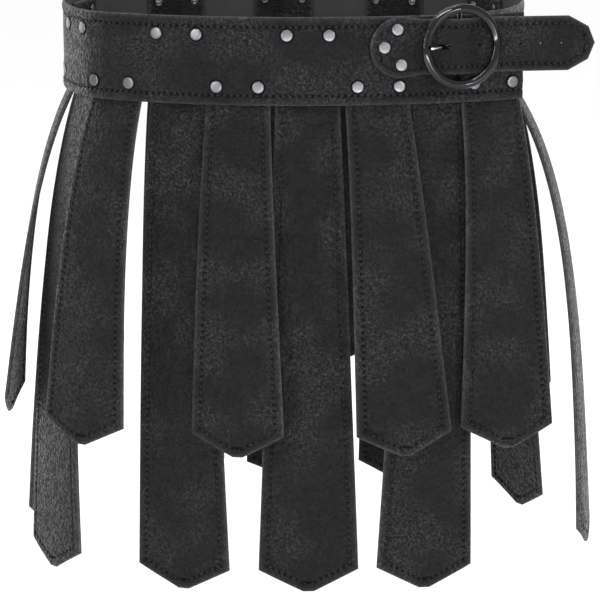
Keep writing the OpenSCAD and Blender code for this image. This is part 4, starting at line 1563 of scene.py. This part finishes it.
class SKIRT_OT_stage(bpy.types.Operator):
    """Make the floor, the soft studio light and the camera"""

    bl_idname = "skirt.stage"
    bl_label = "Stage"

    def execute(self, context):
        scene = context.scene
        scene.view_settings.view_transform = "Standard"
        self.world(scene)
        self.floor(scene)
        self.lamps(scene)
        self.camera(scene)
        return {"FINISHED"}

    def world(self, scene):
        """Soft even light, and white wherever it is seen, directly or in metal."""
        world = bpy.data.worlds.new("studio")
        scene.world = world
        world.use_nodes = True
        tree = world.node_tree
        tree.nodes.clear()
        white = (*scene.skirt_colours.backdrop, 1)
        lighting, seen = 0.8, 1.0
        level = add(tree, "ShaderNodeMapRange", {
            "Value": seen_rays(tree), "To Min": lighting, "To Max": seen,
        })
        back = add(tree, "ShaderNodeBackground", {"Color": white, "Strength": level.outputs["Result"]})
        add(tree, "ShaderNodeOutputWorld", {"Surface": back.outputs["Background"]})

    def floor(self, scene):
        """White paper below the skirt: it keeps the shadow, and its lit part reads as white."""
        half_side, below, lift = 6, 0.12, 0.24
        material, tree = new_material("paper_floor")
        white, paper = (*scene.skirt_colours.backdrop, 1), (*scene.skirt_colours.paper, 1)
        sheet = add(tree, "ShaderNodeBsdfDiffuse", {"Color": paper}).outputs["BSDF"]
        lifted = add(tree, "ShaderNodeMath", {0: seen_rays(tree), 1: lift}, operation="MULTIPLY").outputs[0]
        glow = add(tree, "ShaderNodeEmission", {"Color": white, "Strength": lifted}).outputs["Emission"]
        both = add(tree, "ShaderNodeAddShader", {0: sheet, 1: glow}).outputs["Shader"]
        add(tree, "ShaderNodeOutputMaterial", {"Surface": both})
        bm = bmesh.new()
        bmesh.ops.create_grid(bm, x_segments=1, y_segments=1, size=half_side)
        bmesh.ops.translate(bm, verts=bm.verts, vec=(0, 0, cad_low.z - below))
        floor = bpy.data.objects.new("floor", mesh_from(bm, "floor"))
        floor.data.materials.append(material)
        scene.collection.objects.link(floor)

    def lamps(self, scene):
        """Narrow strips in front, whose reflections edge the leather, and two wide lamps behind."""
        middle_of_skirt = Vector((0, 0, -0.15))
        # Name, place, width and height in metres, and power in watts
        lamps = (
            ("strip_left", (-1.0, -1.5, 0.3), (0.12, 1.0), 17),
            ("strip_right", (1.15, -1.4, 0.35), (0.12, 1.0), 15),
            ("top", (0.1, -1.15, 1.3), (1.0, 0.12), 16),
            ("low", (0.2, -1.3, -0.42), (1.1, 0.12), 11),
            ("side_left", (-1.5, 1.1, 0.3), (1.0, 1.3), 10),
            ("side_right", (1.5, 1.1, 0.3), (1.0, 1.3), 6),
        )
        for name, place, size, power in lamps:
            light = bpy.data.lights.new(name, "AREA")
            light.shape = "RECTANGLE"
            light.size, light.size_y = size
            light.energy = power
            lamp = bpy.data.objects.new(name, light)
            lamp.location = place
            aim = middle_of_skirt - lamp.location
            lamp.rotation_euler = aim.to_track_quat("-Z", "Y").to_euler()
            scene.collection.objects.link(lamp)

    def camera(self, scene):
        """The photograph's view: from in front, and looking a little down."""
        down_tilt, lens, place = 12.23, 164.86, (0.0052, -2.118, 0.254)
        view = bpy.data.cameras.new("camera")
        view.sensor_width = 36
        view.lens = lens
        view.clip_start = 0.1
        camera = bpy.data.objects.new("camera", view)
        camera.location = place
        camera.rotation_euler = (math.radians(90 - down_tilt), 0, 0)
        scene.collection.objects.link(camera)
        scene.camera = camera


class SKIRT_PT_panel(bpy.types.Panel):
    """Lists the steps that dress the skirt"""

    bl_idname = "SKIRT_PT_panel"
    bl_label = "Leather Skirt"
    bl_space_type = "VIEW_3D"
    bl_region_type = "UI"
    bl_category = "Skirt"

    def draw(self, context):
        for operator in OPERATORS:
            self.layout.operator(operator.bl_idname)


OPERATORS = (
    SKIRT_OT_stage, SKIRT_OT_waistband, SKIRT_OT_straps, SKIRT_OT_rivets, SKIRT_OT_tongue, SKIRT_OT_chape,
    SKIRT_OT_buckle,
)
GROUPS = {
    "skirt_band": BandSizes, "skirt_straps": StrapSizes, "skirt_rivets": RivetSizes,
    "skirt_buckle": BuckleSizes, "skirt_thread": ThreadSizes, "skirt_colours": SkirtColours,
}


def register():
    for group in GROUPS.values():
        bpy.utils.register_class(group)
    for name, group in GROUPS.items():
        setattr(bpy.types.Scene, name, PointerProperty(type=group))
    for operator in OPERATORS:
        bpy.utils.register_class(operator)
    bpy.utils.register_class(SKIRT_PT_panel)


def unregister():
    bpy.utils.unregister_class(SKIRT_PT_panel)
    for operator in reversed(OPERATORS):
        bpy.utils.unregister_class(operator)
    for name in GROUPS:
        delattr(bpy.types.Scene, name)
    for group in reversed(GROUPS.values()):
        bpy.utils.unregister_class(group)


def main():
    register()
    for operator in OPERATORS:
        getattr(bpy.ops.skirt, operator.bl_idname.partition(".")[2])()


if __name__ == "__main__":
    main()
